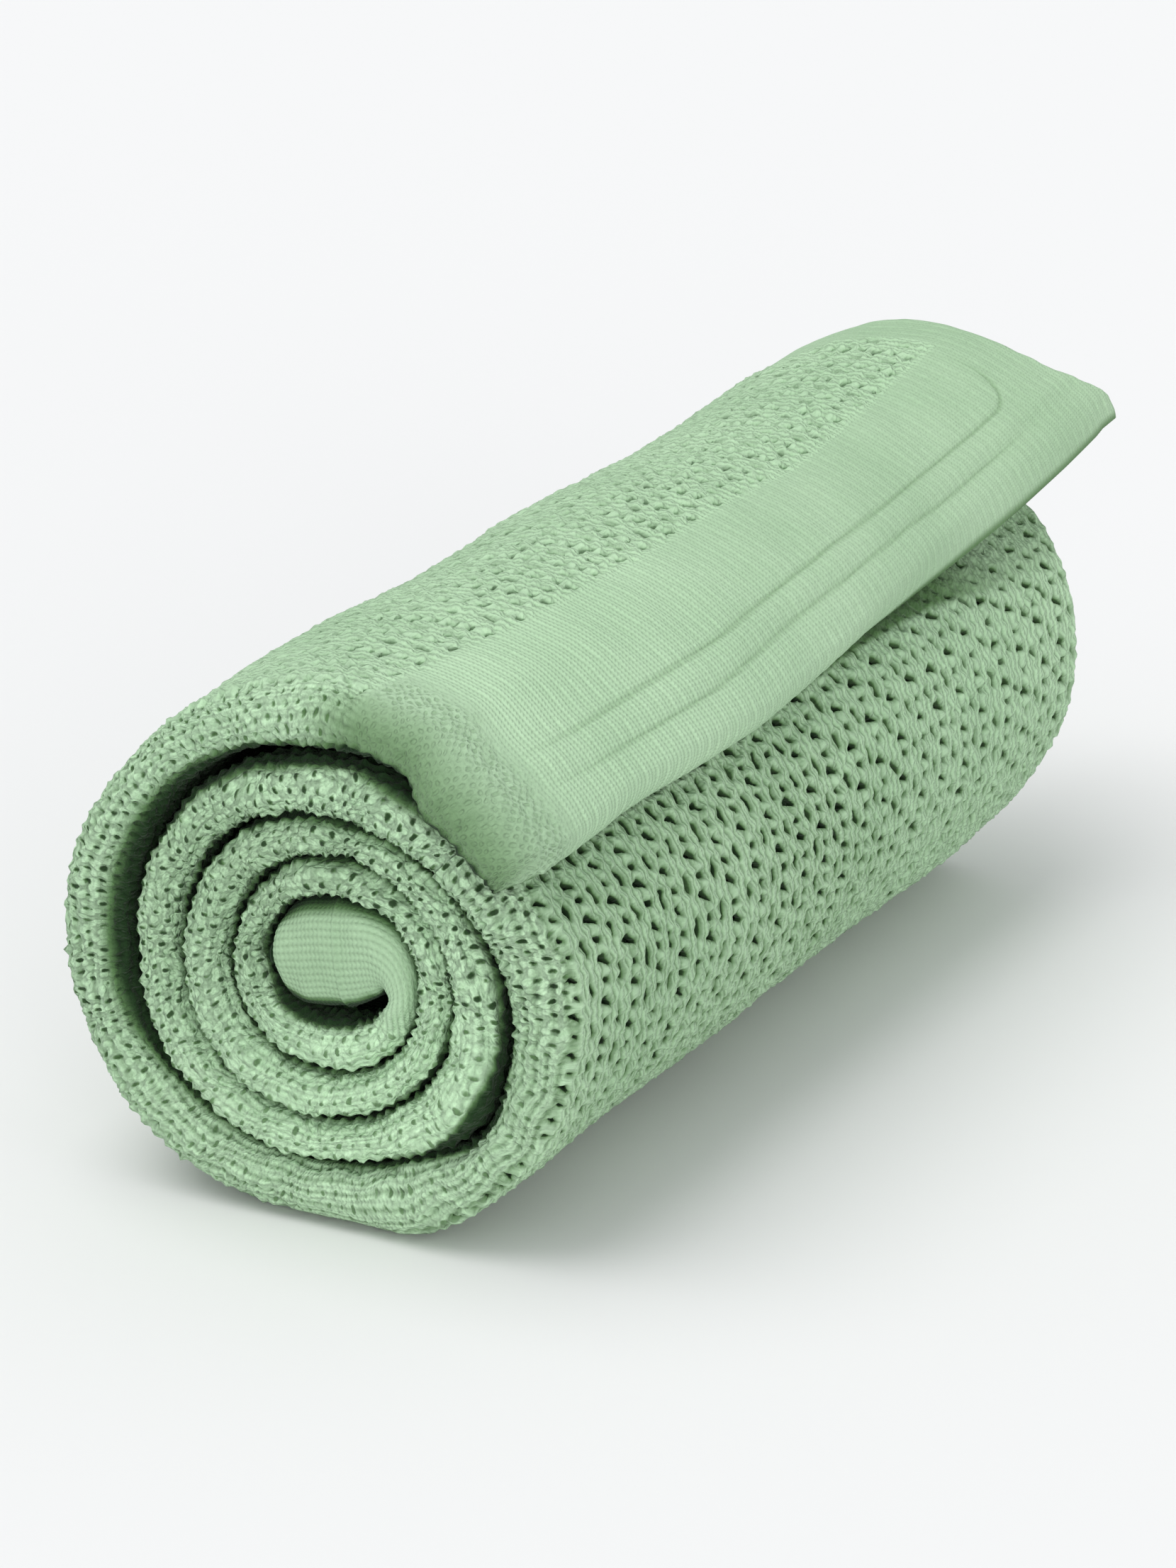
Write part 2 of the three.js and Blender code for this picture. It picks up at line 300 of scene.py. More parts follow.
def openings(s, v, allowed=None):
    """Distance to the nearest opening's outline, the painted shade inside it, and the push on the wales."""
    across, along = to_lattice(s, v)
    sd, hole_shade, push = np.full(s.shape, 9.0), np.zeros(s.shape), np.zeros(s.shape)
    slope = ramp(s, 200, 330) * (table(ROW_WAVE, v + 4) - table(ROW_WAVE, v - 4)) / 8
    for n, (kind, (dv, ds), half, darkness) in enumerate(OPENINGS):
        i = np.round((across - FIRST_HOLE[0] - dv) / REPEAT[0])
        k = np.round((along - FIRST_HOLE[1] - ds) / REPEAT[1])
        a = FIRST_HOLE[0] + dv + REPEAT[0] * i + 0.42 * jitter(i, k, 10 * n)
        b = FIRST_HOLE[1] + ds + REPEAT[1] * k + 0.38 * jitter(i, k, 10 * n + 1)
        s0, v0 = from_lattice(a, b)
        size = (1 + 0.16 * jitter(i, k, 10 * n + 2)) * mix(0.66, 1.0, ramp(v0, 7, 20)) * (1 - 0.10 * ramp(v0, 110, 200))
        size = size * mix(0.80, 1.0, ramp(s0 - table(BORDER, v0), 1, 9))
        lean = jitter(i, k, 10 * n + 3)
        x, y = (v - v0) / size, (s - s0) / size
        turn = 1.3 * slope + 0.12 * lean
        c, m = np.cos(turn), np.sin(turn)
        x, y = c * x + m * y, -m * x + c * y
        if kind == "large":
            d = (sd_polygon(x, y, LARGE) - 0.31) * size
        elif kind == "slot":
            d = (sd_slot(x, y, 1.15, 0.10 + 0.28 * lean) - 0.76) * size
        else:
            d = (sd_slot(x, y, 0.62, np.pi / 2 - 0.30 + 0.3 * lean) - 0.62) * size
        ok = np.ones(s.shape, bool) if allowed is None else allowed(s0, v0, kind)
        near = np.clip(1 - ((v - v0) / 5.5) ** 2, 0, 1) ** 2 * np.clip(1 - ((s - s0) / 4.1) ** 2, 0, 1) ** 2
        push -= ok * half * np.tanh((v - v0) / 0.9) * near
        d = np.where(ok, d, 9.0)
        far = 1 - (0.18 if kind == "large" else 0.42) * ramp(v, 110, 200)
        hole_shade = np.where(d < sd, far * darkness * (1 + 0.12 * jitter(i, k, 10 * n + 4)), hole_shade)
        sd = np.minimum(sd, d)
    return sd, np.clip(hole_shade, 0, 1), push, across + push, along


def eyes(w, u):
    """Where the small dark eyes of the rounded folds are, 1 in the middle of each."""
    return np.cos(2 * np.pi * u / DOTS[0]) * np.cos(np.pi * w / DOTS[1])


def uneven(w, u):
    """The knit's own coordinates, jostled as they are on the rounded folds."""
    return w + 0.32 * waves(u, w, 12, 2) + 0.05 * waves(u, w, 5, 18), u + 0.42 * waves(u, w, 12, 1) + 0.06 * waves(u, w, 5, 19)


def lumps(w, u):
    """Knotty yarn on the rounded folds."""
    g = eyes(w, u)
    fine = 0.06 * np.cos(2 * np.pi * (u / 1.6 + w / 2.4)) + 0.05 * np.cos(2 * np.pi * (u / 1.8 - w / 2.1))
    return 0.38 * np.clip(-g, 0, 1) ** 1.1 - 0.55 * np.clip((g - 0.3) / 0.7, 0, 1) + fine + 0.16 * waves(u, w, 4.0, 4)


def seeds(s, v):
    """Unevenness where the plain border turns over the near fold; its fine stitches are in the material."""
    return 0.20 * waves(s, v, 3.5, 7), 0.10 * np.clip(waves(s, v, 6, 17), 0, 1)


def ribs(s, v):
    """Plain knit: fine wales, a little uneven."""
    b = v + 0.10 * waves(s, v, 30, 8) + 0.05 * waves(s, v, 7, 9)
    return 0.09 * np.cos(2 * np.pi * b / (3 * WALE)) + 0.05 * waves(s, v * 2.0, 6.0, 10)


def lace(s, v, sd, w):
    """Lace: wales that part round the openings, raised lips, and soft hollows."""
    wales = -0.24 * np.cos(2 * np.pi * w / (2 * WALE)) * (0.8 + 0.25 * waves(s, v, 9, 13))
    lip = 0.20 * np.exp(-(((sd - 0.9) / 0.5) ** 2))
    edge = -0.45 * np.exp(-((np.maximum(sd, 0) / 0.38) ** 2))
    hollow = -0.16 * np.exp(-((np.maximum(sd, 0) / 1.8) ** 2))
    broken = 0.13 * np.cos(2 * np.pi * s / (REPEAT[1] / 3) + np.pi * w / (2 * WALE) + 1.2 * waves(s, v, 13, 20))
    return (wales + broken) * ramp(sd, 0.1, 1.1) + lip + edge + hollow + 0.17 * waves(s, v, 3.0, 14)


def puckers(s, v):
    """Slow unevenness of the whole roll."""
    return 0.35 * waves(s, v, 70, 15) + 0.18 * waves(s, v, 26, 16)


# ------------------------------------------------------------------ meshes


class Surface:
    """Points with their cloth coordinates, and triangles, that grow into one or more pieces."""

    def __init__(self):
        self.points, self.uv, self.knit, self.dark, self.rank = [], [], [], [], []
        self.faces = []
        self.count = 0

    def add(self, points, uv, knit, dark, rank):
        points = points.reshape(-1, 3)
        n = len(points)
        self.points.append(points)
        self.uv.append(uv.reshape(-1, 2))
        self.knit.append(knit.reshape(-1, 3))
        self.dark.append(np.broadcast_to(dark, (n,)) if np.ndim(dark) == 0 else dark.reshape(-1))
        self.rank.append(np.broadcast_to(rank, (n,)) if np.ndim(rank) == 0 else rank.reshape(-1))
        first = self.count
        self.count += n
        return first

    def close(self):
        self.points, self.uv, self.knit = map(np.concatenate, (self.points, self.uv, self.knit))
        self.dark, self.rank = np.concatenate(self.dark), np.concatenate(self.rank)
        self.faces = np.concatenate(self.faces)
        p = self.points
        a, b, c = p[self.faces[:, 0]], p[self.faces[:, 1]], p[self.faces[:, 2]]
        n = np.cross(b - a, c - a)
        normals = np.zeros_like(p)
        for k in range(3):
            for axis in range(3):
                normals[:, axis] += np.bincount(self.faces[:, k], n[:, axis], len(p))
        self.normals = unit(normals)


def grid_faces(rows, columns):
    a = (np.arange(rows - 1)[:, None] * columns + np.arange(columns - 1)[None, :]).ravel()
    return a, a + 1, a + columns + 1, a + columns


def make_piece(name, surface, faces, material):
    used, inverse = np.unique(faces.ravel(), return_inverse=True)
    corners = inverse.reshape(-1, 3).astype(np.int32)
    mesh = bpy.data.meshes.new(name)
    n, f = len(used), len(corners)
    mesh.vertices.add(n)
    mesh.vertices.foreach_set("co", (surface.points[used] * 0.001).astype(np.float32).ravel())
    mesh.loops.add(3 * f)
    mesh.loops.foreach_set("vertex_index", corners.ravel())
    mesh.polygons.add(f)
    mesh.polygons.foreach_set("loop_start", np.arange(0, 3 * f, 3, dtype=np.int32))
    mesh.polygons.foreach_set("use_smooth", np.ones(f, bool))
    mesh.update(calc_edges=True)
    uv = mesh.uv_layers.new(name="OFBake")
    spot = surface.uv[used]
    low, high = spot.min(0), spot.max(0)
    spot = 0.005 + 0.99 * (spot - low) / np.maximum(high - low, 1e-9)
    uv.data.foreach_set("uv", spot[corners.ravel()].astype(np.float32).ravel())
    knit = mesh.attributes.new("knit", "FLOAT_VECTOR", "POINT")
    knit.data.foreach_set("vector", surface.knit[used].astype(np.float32).ravel())
    # Painted shade, and painted light where it is below zero, for the material.
    dark = mesh.attributes.new("dark", "FLOAT", "POINT")
    dark.data.foreach_set("value", surface.dark[used].astype(np.float32))
    mesh.validate(clean_customdata=False)
    mesh.normals_split_custom_set_from_vertices(surface.normals[used].astype(np.float32))
    mesh.materials.append(material)
    piece = bpy.data.objects.new(name, mesh)
    bpy.context.scene.collection.objects.link(piece)
    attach(piece, "root")
    return piece


def base_normals(P):
    across, along = np.gradient(P, axis=1), np.gradient(P, axis=0)
    return unit(np.cross(across, along)), unit(across), unit(along)


# ------------------------------------------------------------------ the outermost turn


def fold_path(angle, v):
    """(y, depth, lifted) for the cloth at v: the outer third, over the near fold, and back inside."""
    t = rib(angle)[2]
    loose = 1 - ramp(angle, 53, 67)
    across = t + SAG * loose
    beta = np.radians(90 * (1 - np.clip(v / FOLD, -1, 1)))
    y = NEAR - (NEAR_BULGE + loose) * np.sin(beta)
    depth = across / 2 * (1 - np.cos(beta))
    y = np.where(v > FOLD, NEAR + v - FOLD, np.where(v < -FOLD, NEAR - v - FOLD, y))
    depth = np.where(v < -FOLD, t + SAG * loose * np.exp(np.minimum(v + FOLD, 0) / 6), depth)
    y = y - SLIDE * loose * (1 - ramp(v, FOLD, 90))
    # Past the far end the outer third is turned in over the end of the roll.
    start = table(BEND_FROM, angle)
    past = np.maximum(y - start, 0) * (v > FOLD)
    turn = np.radians(table(TURNED_IN, angle))
    bent = np.minimum(past / BEND_RADIUS, turn)
    straight = past - bent * BEND_RADIUS
    y_in = start + BEND_RADIUS * np.sin(bent) + straight * np.cos(bent)
    depth_in = BEND_RADIUS * (1 - np.cos(bent)) + straight * np.sin(bent)
    far = past > 0
    return np.where(far, y_in, y), np.where(far, depth_in, depth), (v > FOLD).astype(float)


def outer_base(s, v):
    """Points of the outermost turn before its stitches, of its underside, and its place on the roll."""
    angle = angle_at(s)
    y = fold_path(angle, v)[0]
    over = ramp(y, 15, 115) * (v > 0)           # here the hem hangs straight down instead of curling under
    curl = 5.0 + 0.4 * waves(v, 0 * v, 60, 20)
    reach = mix(curl, 0.80 * HEM_ROLL, over)
    start = FLAP_START + table(HEM_SHIFT, y) + reach / 1.03
    left = np.clip(1 - s / HEM_ROLL, 0, 1)
    phi = np.radians(90 * left)
    angle = np.where(s < HEM_ROLL, start - mix(curl * np.sin(phi), 0.80 * HEM_ROLL * left, over) / 1.03,
                     angle + (start - HEM_ANGLE) * np.exp(-np.maximum(s - HEM_ROLL, 0) / 20))
    y, depth, lifted = fold_path(angle, v)
    t = rib(angle)[2]
    drop = np.maximum(t + spiral_gap(angle) - 0.3, depth + 0.3)
    under_drop = np.where(s < HEM_ROLL, mix(drop, depth + CLOTH - 0.5, over), depth + CLOTH - 0.3)
    under = place(angle, y, under_drop, lifted)
    curled = mix(drop - (drop - depth) * np.cos(phi), depth + 1.6 * left**2, over)
    depth = np.where(s < HEM_ROLL, curled, depth)
    return place(angle, y, depth, lifted), under, y, angle


def pattern_v(angle, v):
    """Cloth width from the tip of the near fold, at true size on each turn's own fold."""
    half = rib(angle)[2] / 2
    quarter = np.pi / 4 * (1.5 * (half + NEAR_BULGE) - np.sqrt(half * NEAR_BULGE))
    k = quarter / FOLD
    return np.where(np.abs(v) <= FOLD, v * k, v + np.sign(v) * (quarter - FOLD))


def outermost_turn(surface):
    step = 1.0
    spacing = [(30, 0.80), (74, 0.84), (84, 0.80), (120, 0.86), (225, 0.98), (245, 1.45), (300, 1.45), (318, 0.62), (391, 0.58), (396, 1.3), (420, 1.3)]
    rows, s, end = [0.0], 0.0, float(length_at(FRONT_END))
    while s < end:
        s += float(table(spacing, angle_at(s))) * step
        rows.append(s)
    rows = np.array(rows) * end / rows[-1]
    columns = np.concatenate([np.arange(-27.0, -8.0, 0.75 * step), np.arange(-8.0, FOLD + 174 - NEAR, 0.46 * step)])
    S, V = np.meshgrid(rows, columns, indexing="ij")
    A = angle_at(S)

    free_edge = FOLD + table(BEND_FROM, A) - NEAR + table(FREE_LENGTH, A) + 0.35 * waves(S, 0 * S, 38, 21)

    def allowed(s, v, kind):
        a = angle_at(s)
        edge = FOLD + table(BEND_FROM, a) - NEAR + table(FREE_LENGTH, a)
        band = table([(0, SIDE_BAND + 3), (120, SIDE_BAND + 3), (180, SIDE_BAND), (1700, SIDE_BAND)], a)
        return (s > table(BORDER, v) + 1.0) & (v < edge - band - 1.0) & (v > 5.5)

    sd_lace, hole_shade, push, W, U = openings(S, V, allowed)
    sd = np.minimum(sd_lace, free_edge - V)

    # Points near an opening's outline move onto it.
    h = np.minimum(np.gradient(rows)[:, None], np.gradient(columns)[None, :])
    gs = np.gradient(sd, rows, axis=0)
    gv = np.gradient(sd, columns, axis=1)
    size = np.maximum(np.hypot(gs, gv), 0.35)
    reach = np.hypot(gs / size * np.gradient(rows)[:, None], gv / size * np.gradient(columns)[None, :])
    snap = (np.abs(sd) < 0.52 * reach)
    S2 = S - np.where(snap, sd * gs / size**2, 0)
    V2 = V - np.where(snap, sd * gv / size**2, 0)
    S2[0], S2[-1] = rows[0], rows[-1]
    before = sd
    sd = np.where(snap, 0.0, sd)

    P, under, Y, A = outer_base(S2, V2)
    N, across, along = base_normals(P)
    # Where two points moved past each other, the directions of the even grid hold.
    even = base_normals(outer_base(S, V)[0])
    odd = ((N * even[0]).sum(-1) < 0.6)[..., None]
    N, across, along = (np.where(odd, e, n) for n, e in zip((N, across, along), even))
    S_old = length_at(A)
    v = pattern_v(angle_at(S2), V2)

    plain_end = 1 - ramp(S2 - table(BORDER, V2), -1.5, 2.0)
    plain_side = ramp(V2 - (free_edge - SIDE_BAND), -2.0, 1.0)
    plain = np.maximum(plain_end, plain_side)
    near_fold = (1 - ramp(v, 5.0, 13.0)) * (1 - plain)
    fold_plain = 1 - ramp(v, 14.0, 28.0)
    W2, U2 = uneven(W, U)
    W, U = mix(W, W2, near_fold), mix(U, U2, near_fold)
    W = mix(W, V2, plain)
    seed, seed_dots = seeds(S2, V2)
    height = (plain * mix(ribs(S2, V2), seed, fold_plain)
              + (1 - plain) * (lace(S2, V2, sd_lace, W) + near_fold * lumps(W, U) * ramp(sd_lace, -0.2, 1.0)))
    on_top = ramp(A, 48, 62) * (1 - ramp(A, 115, 165))        # light falls straight in up here
    hole_shade = hole_shade * (1 - 0.78 * on_top)
    # Painted shade at the openings' rims, in the valleys between wales, between the border's ribs and in the seeds on
    # the fold.
    rim_shade = 0.60 * np.exp(-((np.maximum(sd_lace, 0) / 0.5) ** 2)) * np.clip(hole_shade * 1.2, 0, 1)
    valley = (0.25 + 0.30 * np.exp(-((np.maximum(sd_lace, 0) / 1.6) ** 2))) * (0.5 + 0.5 * np.cos(2 * np.pi * W / (2 * WALE)))
    rib_groove_shade = 0.05 * (0.5 - 0.5 * np.cos(2 * np.pi * V2 / (3 * WALE)))
    valley = valley * (1 - 0.85 * on_top) * (1 - 0.55 * ramp(V2, 110, 200))
    dark = (1 - plain) * np.maximum(rim_shade, valley * ramp(sd_lace, 0.2, 1.0)) + plain * np.maximum(fold_plain * seed_dots, rib_groove_shade)
    # Painted shade on the inner side of the near fold, which lies in the dark between the turns.
    open_gap = ramp(A, 50, 80) * (1 - ramp(A, 190, 230))
    lower_right = np.exp(-(((A - 322) / 20) ** 2))
    left_side = ramp(A, 115, 145) * (1 - ramp(A, 195, 225))
    dark = np.maximum(dark, 0.97 * ramp(-v, 6.0 - 2.2 * open_gap - 2.6 * left_side - 2.0 * lower_right,
                                        10.5 - 2.5 * open_gap - 0.8 * left_side - 5.0 * lower_right))
    # The hem and the cloth that it lies on shade each other: painted shade on the hem's lowest rows and on the cloth
    # under the hem.
    contact = 1 - ramp(Y, 60, 120)
    under_hem = 390 + table(HEM_SHIFT, Y)
    dark = np.maximum(dark, 0.72 * mix(0.85, 1.0, contact) * (1 - ramp(S2, 0.3, 4.2)))
    dark = np.maximum(dark, mix(0.20, 0.78, contact) * ramp(A - under_hem, mix(-6.5, 0.2, contact), mix(-0.3, 3.2, contact))
                      * ramp(V2, 3, 10) * (1 - ramp(V2 - free_edge + table(FREE_LENGTH, A), -1, 8)) * (A > 340))
    # The loose end's near edge turns under, out of the light: painted shade along it.
    dark = np.maximum(dark, 0.52 * (1 - ramp(V2, -1, 14)) * (1 - ramp(A, 78, 100)) + 0.92 * ramp(-V2, 2.2, 7.5) * (1 - ramp(A, 78, 100)))
    # Painted light: lighter at the bottom of the outermost turn and on the lace on top near the near end.
    low = ramp(A, 215, 245) * (1 - ramp(A, 300, 335)) * (1 - ramp(V2, 8, 22))
    dark = dark - 0.34 * low * (1 - np.clip(4 * dark, 0, 1))
    dark = dark - 0.19 * ramp(A, 62, 80) * (1 - ramp(A, 120, 150)) * (1 - ramp(V2, 60, 130)) * (1 - np.clip(4 * dark, 0, 1))
    height = height - 2.7 * np.exp(-(((A - 321) / 18) ** 2)) * ramp(-v, 0, 6)

    # Stitched lines above the hem, one of them turning down the side band; painted shade in their grooves.
    dx, dy = free_edge - 19.0 - V2, S_old - LINES[1] + 1.2 * np.exp(-(((V2 - 100) / 30) ** 2))
    r = 14.0
    corner = np.minimum(np.maximum(r - dx, 0), 60), np.maximum(r - dy, 0)
    line1 = np.where((dx < r) & (dy < r), r - np.hypot(*corner), np.minimum(dx, dy))
    side = 1 - ramp(A, 54, 78)
    line1 = np.where(A < 180, line1, 9.0)
    line2 = S_old - LINES[0] + 1.5 * np.exp(-(((V2 - 92) / 25) ** 2)) + 1.4 * ramp(V2, 190, 225)
    fade2 = 1 - ramp(V2, 235, 275)
    stitch = 0.75 + 0.25 * np.cos(2 * np.pi * np.where(np.abs(dy) < np.abs(dx), V2, S2) / 2.6)
    fade1 = ramp(V2, 8, 62) * side
    groove1, groove2 = fade1 * np.exp(-((line1 / 0.62) ** 2)), fade1 * fade2 * np.exp(-((line2 / 0.6) ** 2))
    height = height - 0.45 * stitch * groove1 - 0.42 * stitch * groove2
    dark = np.maximum(dark, np.maximum(0.30 * groove1, 0.26 * groove2))
    height = height + 0.45 * fade1 * np.exp(-(((line2 - 4.0) / 2.6) ** 2)) + 0.40 * np.exp(-(((line2 + 5) / 3.5) ** 2)) * ramp(V2, 5, 20)
    height = height * (1 - 0.45 * ramp(A, 95, 112) * (1 - ramp(A, 165, 200)) * ramp(V2, 8, 30))
    height = height + puckers(S2, V2) * ramp(A, 30, 45)
    height = height * ramp(S2, 0.0, 5.0)
    bottom_flat = ramp(np.abs(A - 270), 6, 24)  # it lies on the surface here
    height = np.where(np.abs(A - 270) < 40, mix(np.minimum(height, 0.1) - 0.1, height, bottom_flat), height)
    top = P + N * height[..., None]
    top[..., 2] = np.maximum(top[..., 2], -0.3)

    rank = np.broadcast_to(np.arange(len(rows))[:, None], S.shape)
    # Painted light: fewer and fainter dark eyes and knots at the bottom and on top, with a smoother bump.
    painted_light_calm = ramp(A, 190, 240) * (1 - ramp(A, 345, 360)) + 0.8 * on_top
    knit = np.stack([W, U, near_fold * (1 - 0.42 * painted_light_calm) - plain * (1 + ramp(V2, 50, 190) + 2.0 * fold_plain)], -1)   # smoother and painted darker far off and on the fold, seeds near the fold
    first = surface.add(top, np.stack([V2, S2], -1), knit, dark, rank)
    assert first == 0

    flat_sd, flat_before = sd.ravel(), before.ravel()
    a, b, c, d = grid_faces(*S.shape)
    other = (flat_sd[b] == 0) & (flat_sd[d] == 0)
    tri = np.concatenate([
        np.stack([a, b, np.where(other, d, c)], 1),
        np.stack([np.where(other, b, a), c, d], 1),
    ])
    inside = flat_sd[tri].mean(1)
    inside = np.where(np.abs(inside) < 1e-9, flat_before[tri].mean(1), inside)
    tri = tri[inside > 0]
    surface.faces.append(tri)

    # The flap past the end of the roll is seen from below too; its underside gets painted shade.
    has_under = (Y > 108) & (A < 232) & (V2 > FOLD)
    both = tri[has_under.ravel()[tri].all(1)]
    under_knit = knit.copy()
    U = S.size
    under_first = surface.add(under, np.stack([V2 + 75, S2], -1), under_knit, 0.10 + 0.3 * dark, rank)
    under_index = np.arange(U) + under_first
    under_index[: S.shape[1]] = np.arange(S.shape[1])        # the hem's edge is shared
    surface.faces.append(under_index[both][:, ::-1])

    # Walls of the openings and the rolled free edge, with painted shade growing darker down the walls.
    edges = np.concatenate([tri[:, [0, 1]], tri[:, [1, 2]], tri[:, [2, 0]]]).astype(np.int64)
    key = np.minimum(edges[:, 0], edges[:, 1]) * U + np.maximum(edges[:, 0], edges[:, 1])
    order = np.argsort(key, kind="stable")
    k = key[order]
    alone = np.ones(len(k), bool)
    alone[1:] &= k[1:] != k[:-1]
    alone[:-1] &= k[:-1] != k[1:]
    rim = edges[order[alone]]
    row, column = rim // S.shape[1], rim % S.shape[1]
    border = ((row == 0).all(1) | (row == S.shape[0] - 1).all(1) | (column == 0).all(1) | (column == S.shape[1] - 1).all(1))
    rim = rim[~border]
    tips = np.unique(rim)
    out = -(gv.ravel()[tips, None] * across.reshape(-1, 3)[tips] + gs.ravel()[tips, None] * along.reshape(-1, 3)[tips])
    out = unit(out)
    flat_out = -np.stack([gv.ravel()[tips], gs.ravel()[tips]], 1)
    flat_out /= np.maximum(np.linalg.norm(flat_out, axis=1, keepdims=True), 1e-9)
    is_edge = (free_edge - V).ravel()[tips] < sd_lace.ravel()[tips]
    top_p, under_p = top.reshape(-1, 3)[tips], under.reshape(-1, 3)[tips]
    n_p = N.reshape(-1, 3)[tips]
    with_under = has_under.ravel()[tips] | is_edge
    low = np.where(with_under[:, None], under_p, top_p - n_p * 2.1)
    uv_p = np.stack([V2.ravel(), S2.ravel()], 1)[tips]
    knit_p = knit.reshape(-1, 3)[tips]
    rank_p = rank.ravel()[tips]
    number = np.full(U, -1, np.int64)
    number[tips] = np.arange(len(tips))
    rings = [tips]
    for share, swell_edge, swell_hole, shade, uv_edge, uv_hole in (
        (0.16, 1.15, 0.10, 0.96, 1.2, 0.20), (0.75, 1.15, 0.04, 1.00, 2.6, 0.40)):
        swell = np.where(is_edge, swell_edge, swell_hole)[:, None]
        p = top_p + (low - top_p) * share + out * swell
        shade_p = np.where(is_edge, 0.12, shade * hole_shade.ravel()[tips])
        uv_out = flat_out * np.where(is_edge, uv_edge, uv_hole)[:, None]
        rings.append(np.arange(len(tips)) + surface.add(p, uv_p + uv_out, knit_p, shade_p, rank_p))
    last_uv = uv_p + flat_out * np.where(is_edge, 3.8, 0.7)[:, None]
    end_ring = np.arange(len(tips)) + surface.add(low, last_uv, knit_p, np.where(is_edge, 0.15, 1.0), rank_p)
    shared = has_under.ravel()[tips]
    # A point whose underside is in use is welded to it.
    used_under = np.zeros(U, bool)
    used_under[np.unique(both)] = True
    end_ring = np.where(used_under[tips], under_index[tips], end_ring)
    # Deep walls only where something is seen behind them.
    rings.append(end_ring)
    i, j = number[rim[:, 0]], number[rim[:, 1]]
    needs_last = with_under[i] & with_under[j]
    for n in range(3):
        r0, r1 = rings[n], rings[n + 1]
        keep = np.ones(len(i), bool) if n < 2 else needs_last
        p, q = i[keep], j[keep]
        surface.faces.append(np.stack([r0[q], r0[p], r1[p]], 1))
        surface.faces.append(np.stack([r0[q], r1[p], r1[q]], 1))
    return int((sd_lace < 0).sum())


def split_rows(surface, names, material):
    """Pieces of the surface, by rows, so that none is too large."""
    rank = surface.rank[surface.faces].min(1)
    order = np.argsort(rank, kind="stable")
    count = np.cumsum(np.bincount(rank))
    cuts = [0]
    for n in range(1, len(names)):
        cuts.append(int(np.searchsorted(count, count[-1] * n / len(names))))
    cuts.append(int(rank.max()) + 1)
    made = []
    for name, low, high in zip(names, cuts[:-1], cuts[1:]):
        made.append(make_piece(name, surface, surface.faces[(rank >= low) & (rank < high)], material))
    return made


# ------------------------------------------------------------------ strips along the spiral


def strip(surface, angles, path, relief, width_uv, taper_start=False, taper_end=False):
    """A band that follows the strip: path gives (y, depth) for each angle and column u from 0 to 1."""
    surface_rank = np.arange(len(angles))
    y, depth, v = path(angles)
    A = np.broadcast_to(angles[:, None], y.shape)
    s = middle_length_at(A)
    P = place(A, y, depth)
    N, _, _ = base_normals(P)
    height, dark, kind, w, u = relief(s, v, A)
    top = P + N * height[..., None]
    top[..., 2] = np.maximum(top[..., 2], -0.3)
    for wanted, ends in ((taper_start, np.arange(len(angles))), (taper_end, np.arange(len(angles))[::-1])):
        if wanted:  # rounds off the strip's end
            mid = 0.5 * (top[:, :1] + top[:, -1:])
            run = np.abs(s[:, :1] - s[ends[0], 0])
            reach = 4.5
            k = np.where(run < reach, np.sqrt(np.clip(1 - (1 - run / reach) ** 2, 0.0, 1)), 1.0)[..., None]
            top = mid + (top - mid) * k
    rank = np.broadcast_to(surface_rank[:, None], y.shape)
    first = surface.add(top, np.stack([v, s], -1), np.stack([w, u, kind + 0 * v], -1), dark, rank)
    a, b, c, d = (x + first for x in grid_faces(*y.shape))
    surface.faces.append(np.concatenate([np.stack([a, b, c], 1), np.stack([a, c, d], 1)]))


def near_path(columns_side, columns_fold, side):
    def path(angles):
        t = rib(angles)[2][:, None]
        fold = np.linspace(0, np.pi, columns_fold)[None, :]
        power = mix(1.0, 0.72, ramp(angles, 1420, 1500))[:, None]     # the core pad has a flatter face
        bulge = NEAR_BULGE * np.sin(fold) ** power
        y_fold = NEAR - bulge
        d_fold = t / 2 * (1 - np.cos(fold))
        u = np.linspace(side, 0, columns_side, endpoint=False)[None, :]
        y = np.concatenate([NEAR + u + 0 * t, y_fold + 0 * t, NEAR + u[:, ::-1] + 0 * t], 1)
        d = np.concatenate([0 * u + 0 * t, d_fold, 0 * u + t], 1)
        quarter = np.pi / 4 * (1.5 * (t / 2 + NEAR_BULGE) - np.sqrt(t / 2 * NEAR_BULGE))
        v = np.concatenate([quarter + u, quarter * (1 - fold / (np.pi / 2)), -quarter - u[:, ::-1]], 1)
        return y, d, v
    return path


def far_fold_path(columns_side, columns_fold, side):
    """The far fold, between the inner and the middle third."""
    def path(angles):
        t = rib(angles)[2][:, None]
        cloth = np.minimum(CLOTH, (t - 2 * LAYER_GAP) / 3)
        top = cloth + (t - 3 * cloth) / 2
        fold = np.linspace(0, np.pi, columns_fold)[None, :]
        y_fold = FAR + FAR_BULGE * np.sin(fold)
        d_fold = (t + top) / 2 + (t - top) / 2 * np.cos(fold)
        u = np.linspace(side, 0, columns_side, endpoint=False)[None, :]
        y = np.concatenate([FAR - u + 0 * t, y_fold + 0 * t, FAR - u[:, ::-1] + 0 * t], 1)
        d = np.concatenate([0 * u + t, d_fold, 0 * u + top], 1)
        v = np.concatenate([200 - side + (side - u) + 0 * t, 200 + 14 * fold / np.pi + 0 * t, 214 + (side - u[:, ::-1]) + 0 * t], 1)
        return y, d, v
    return path


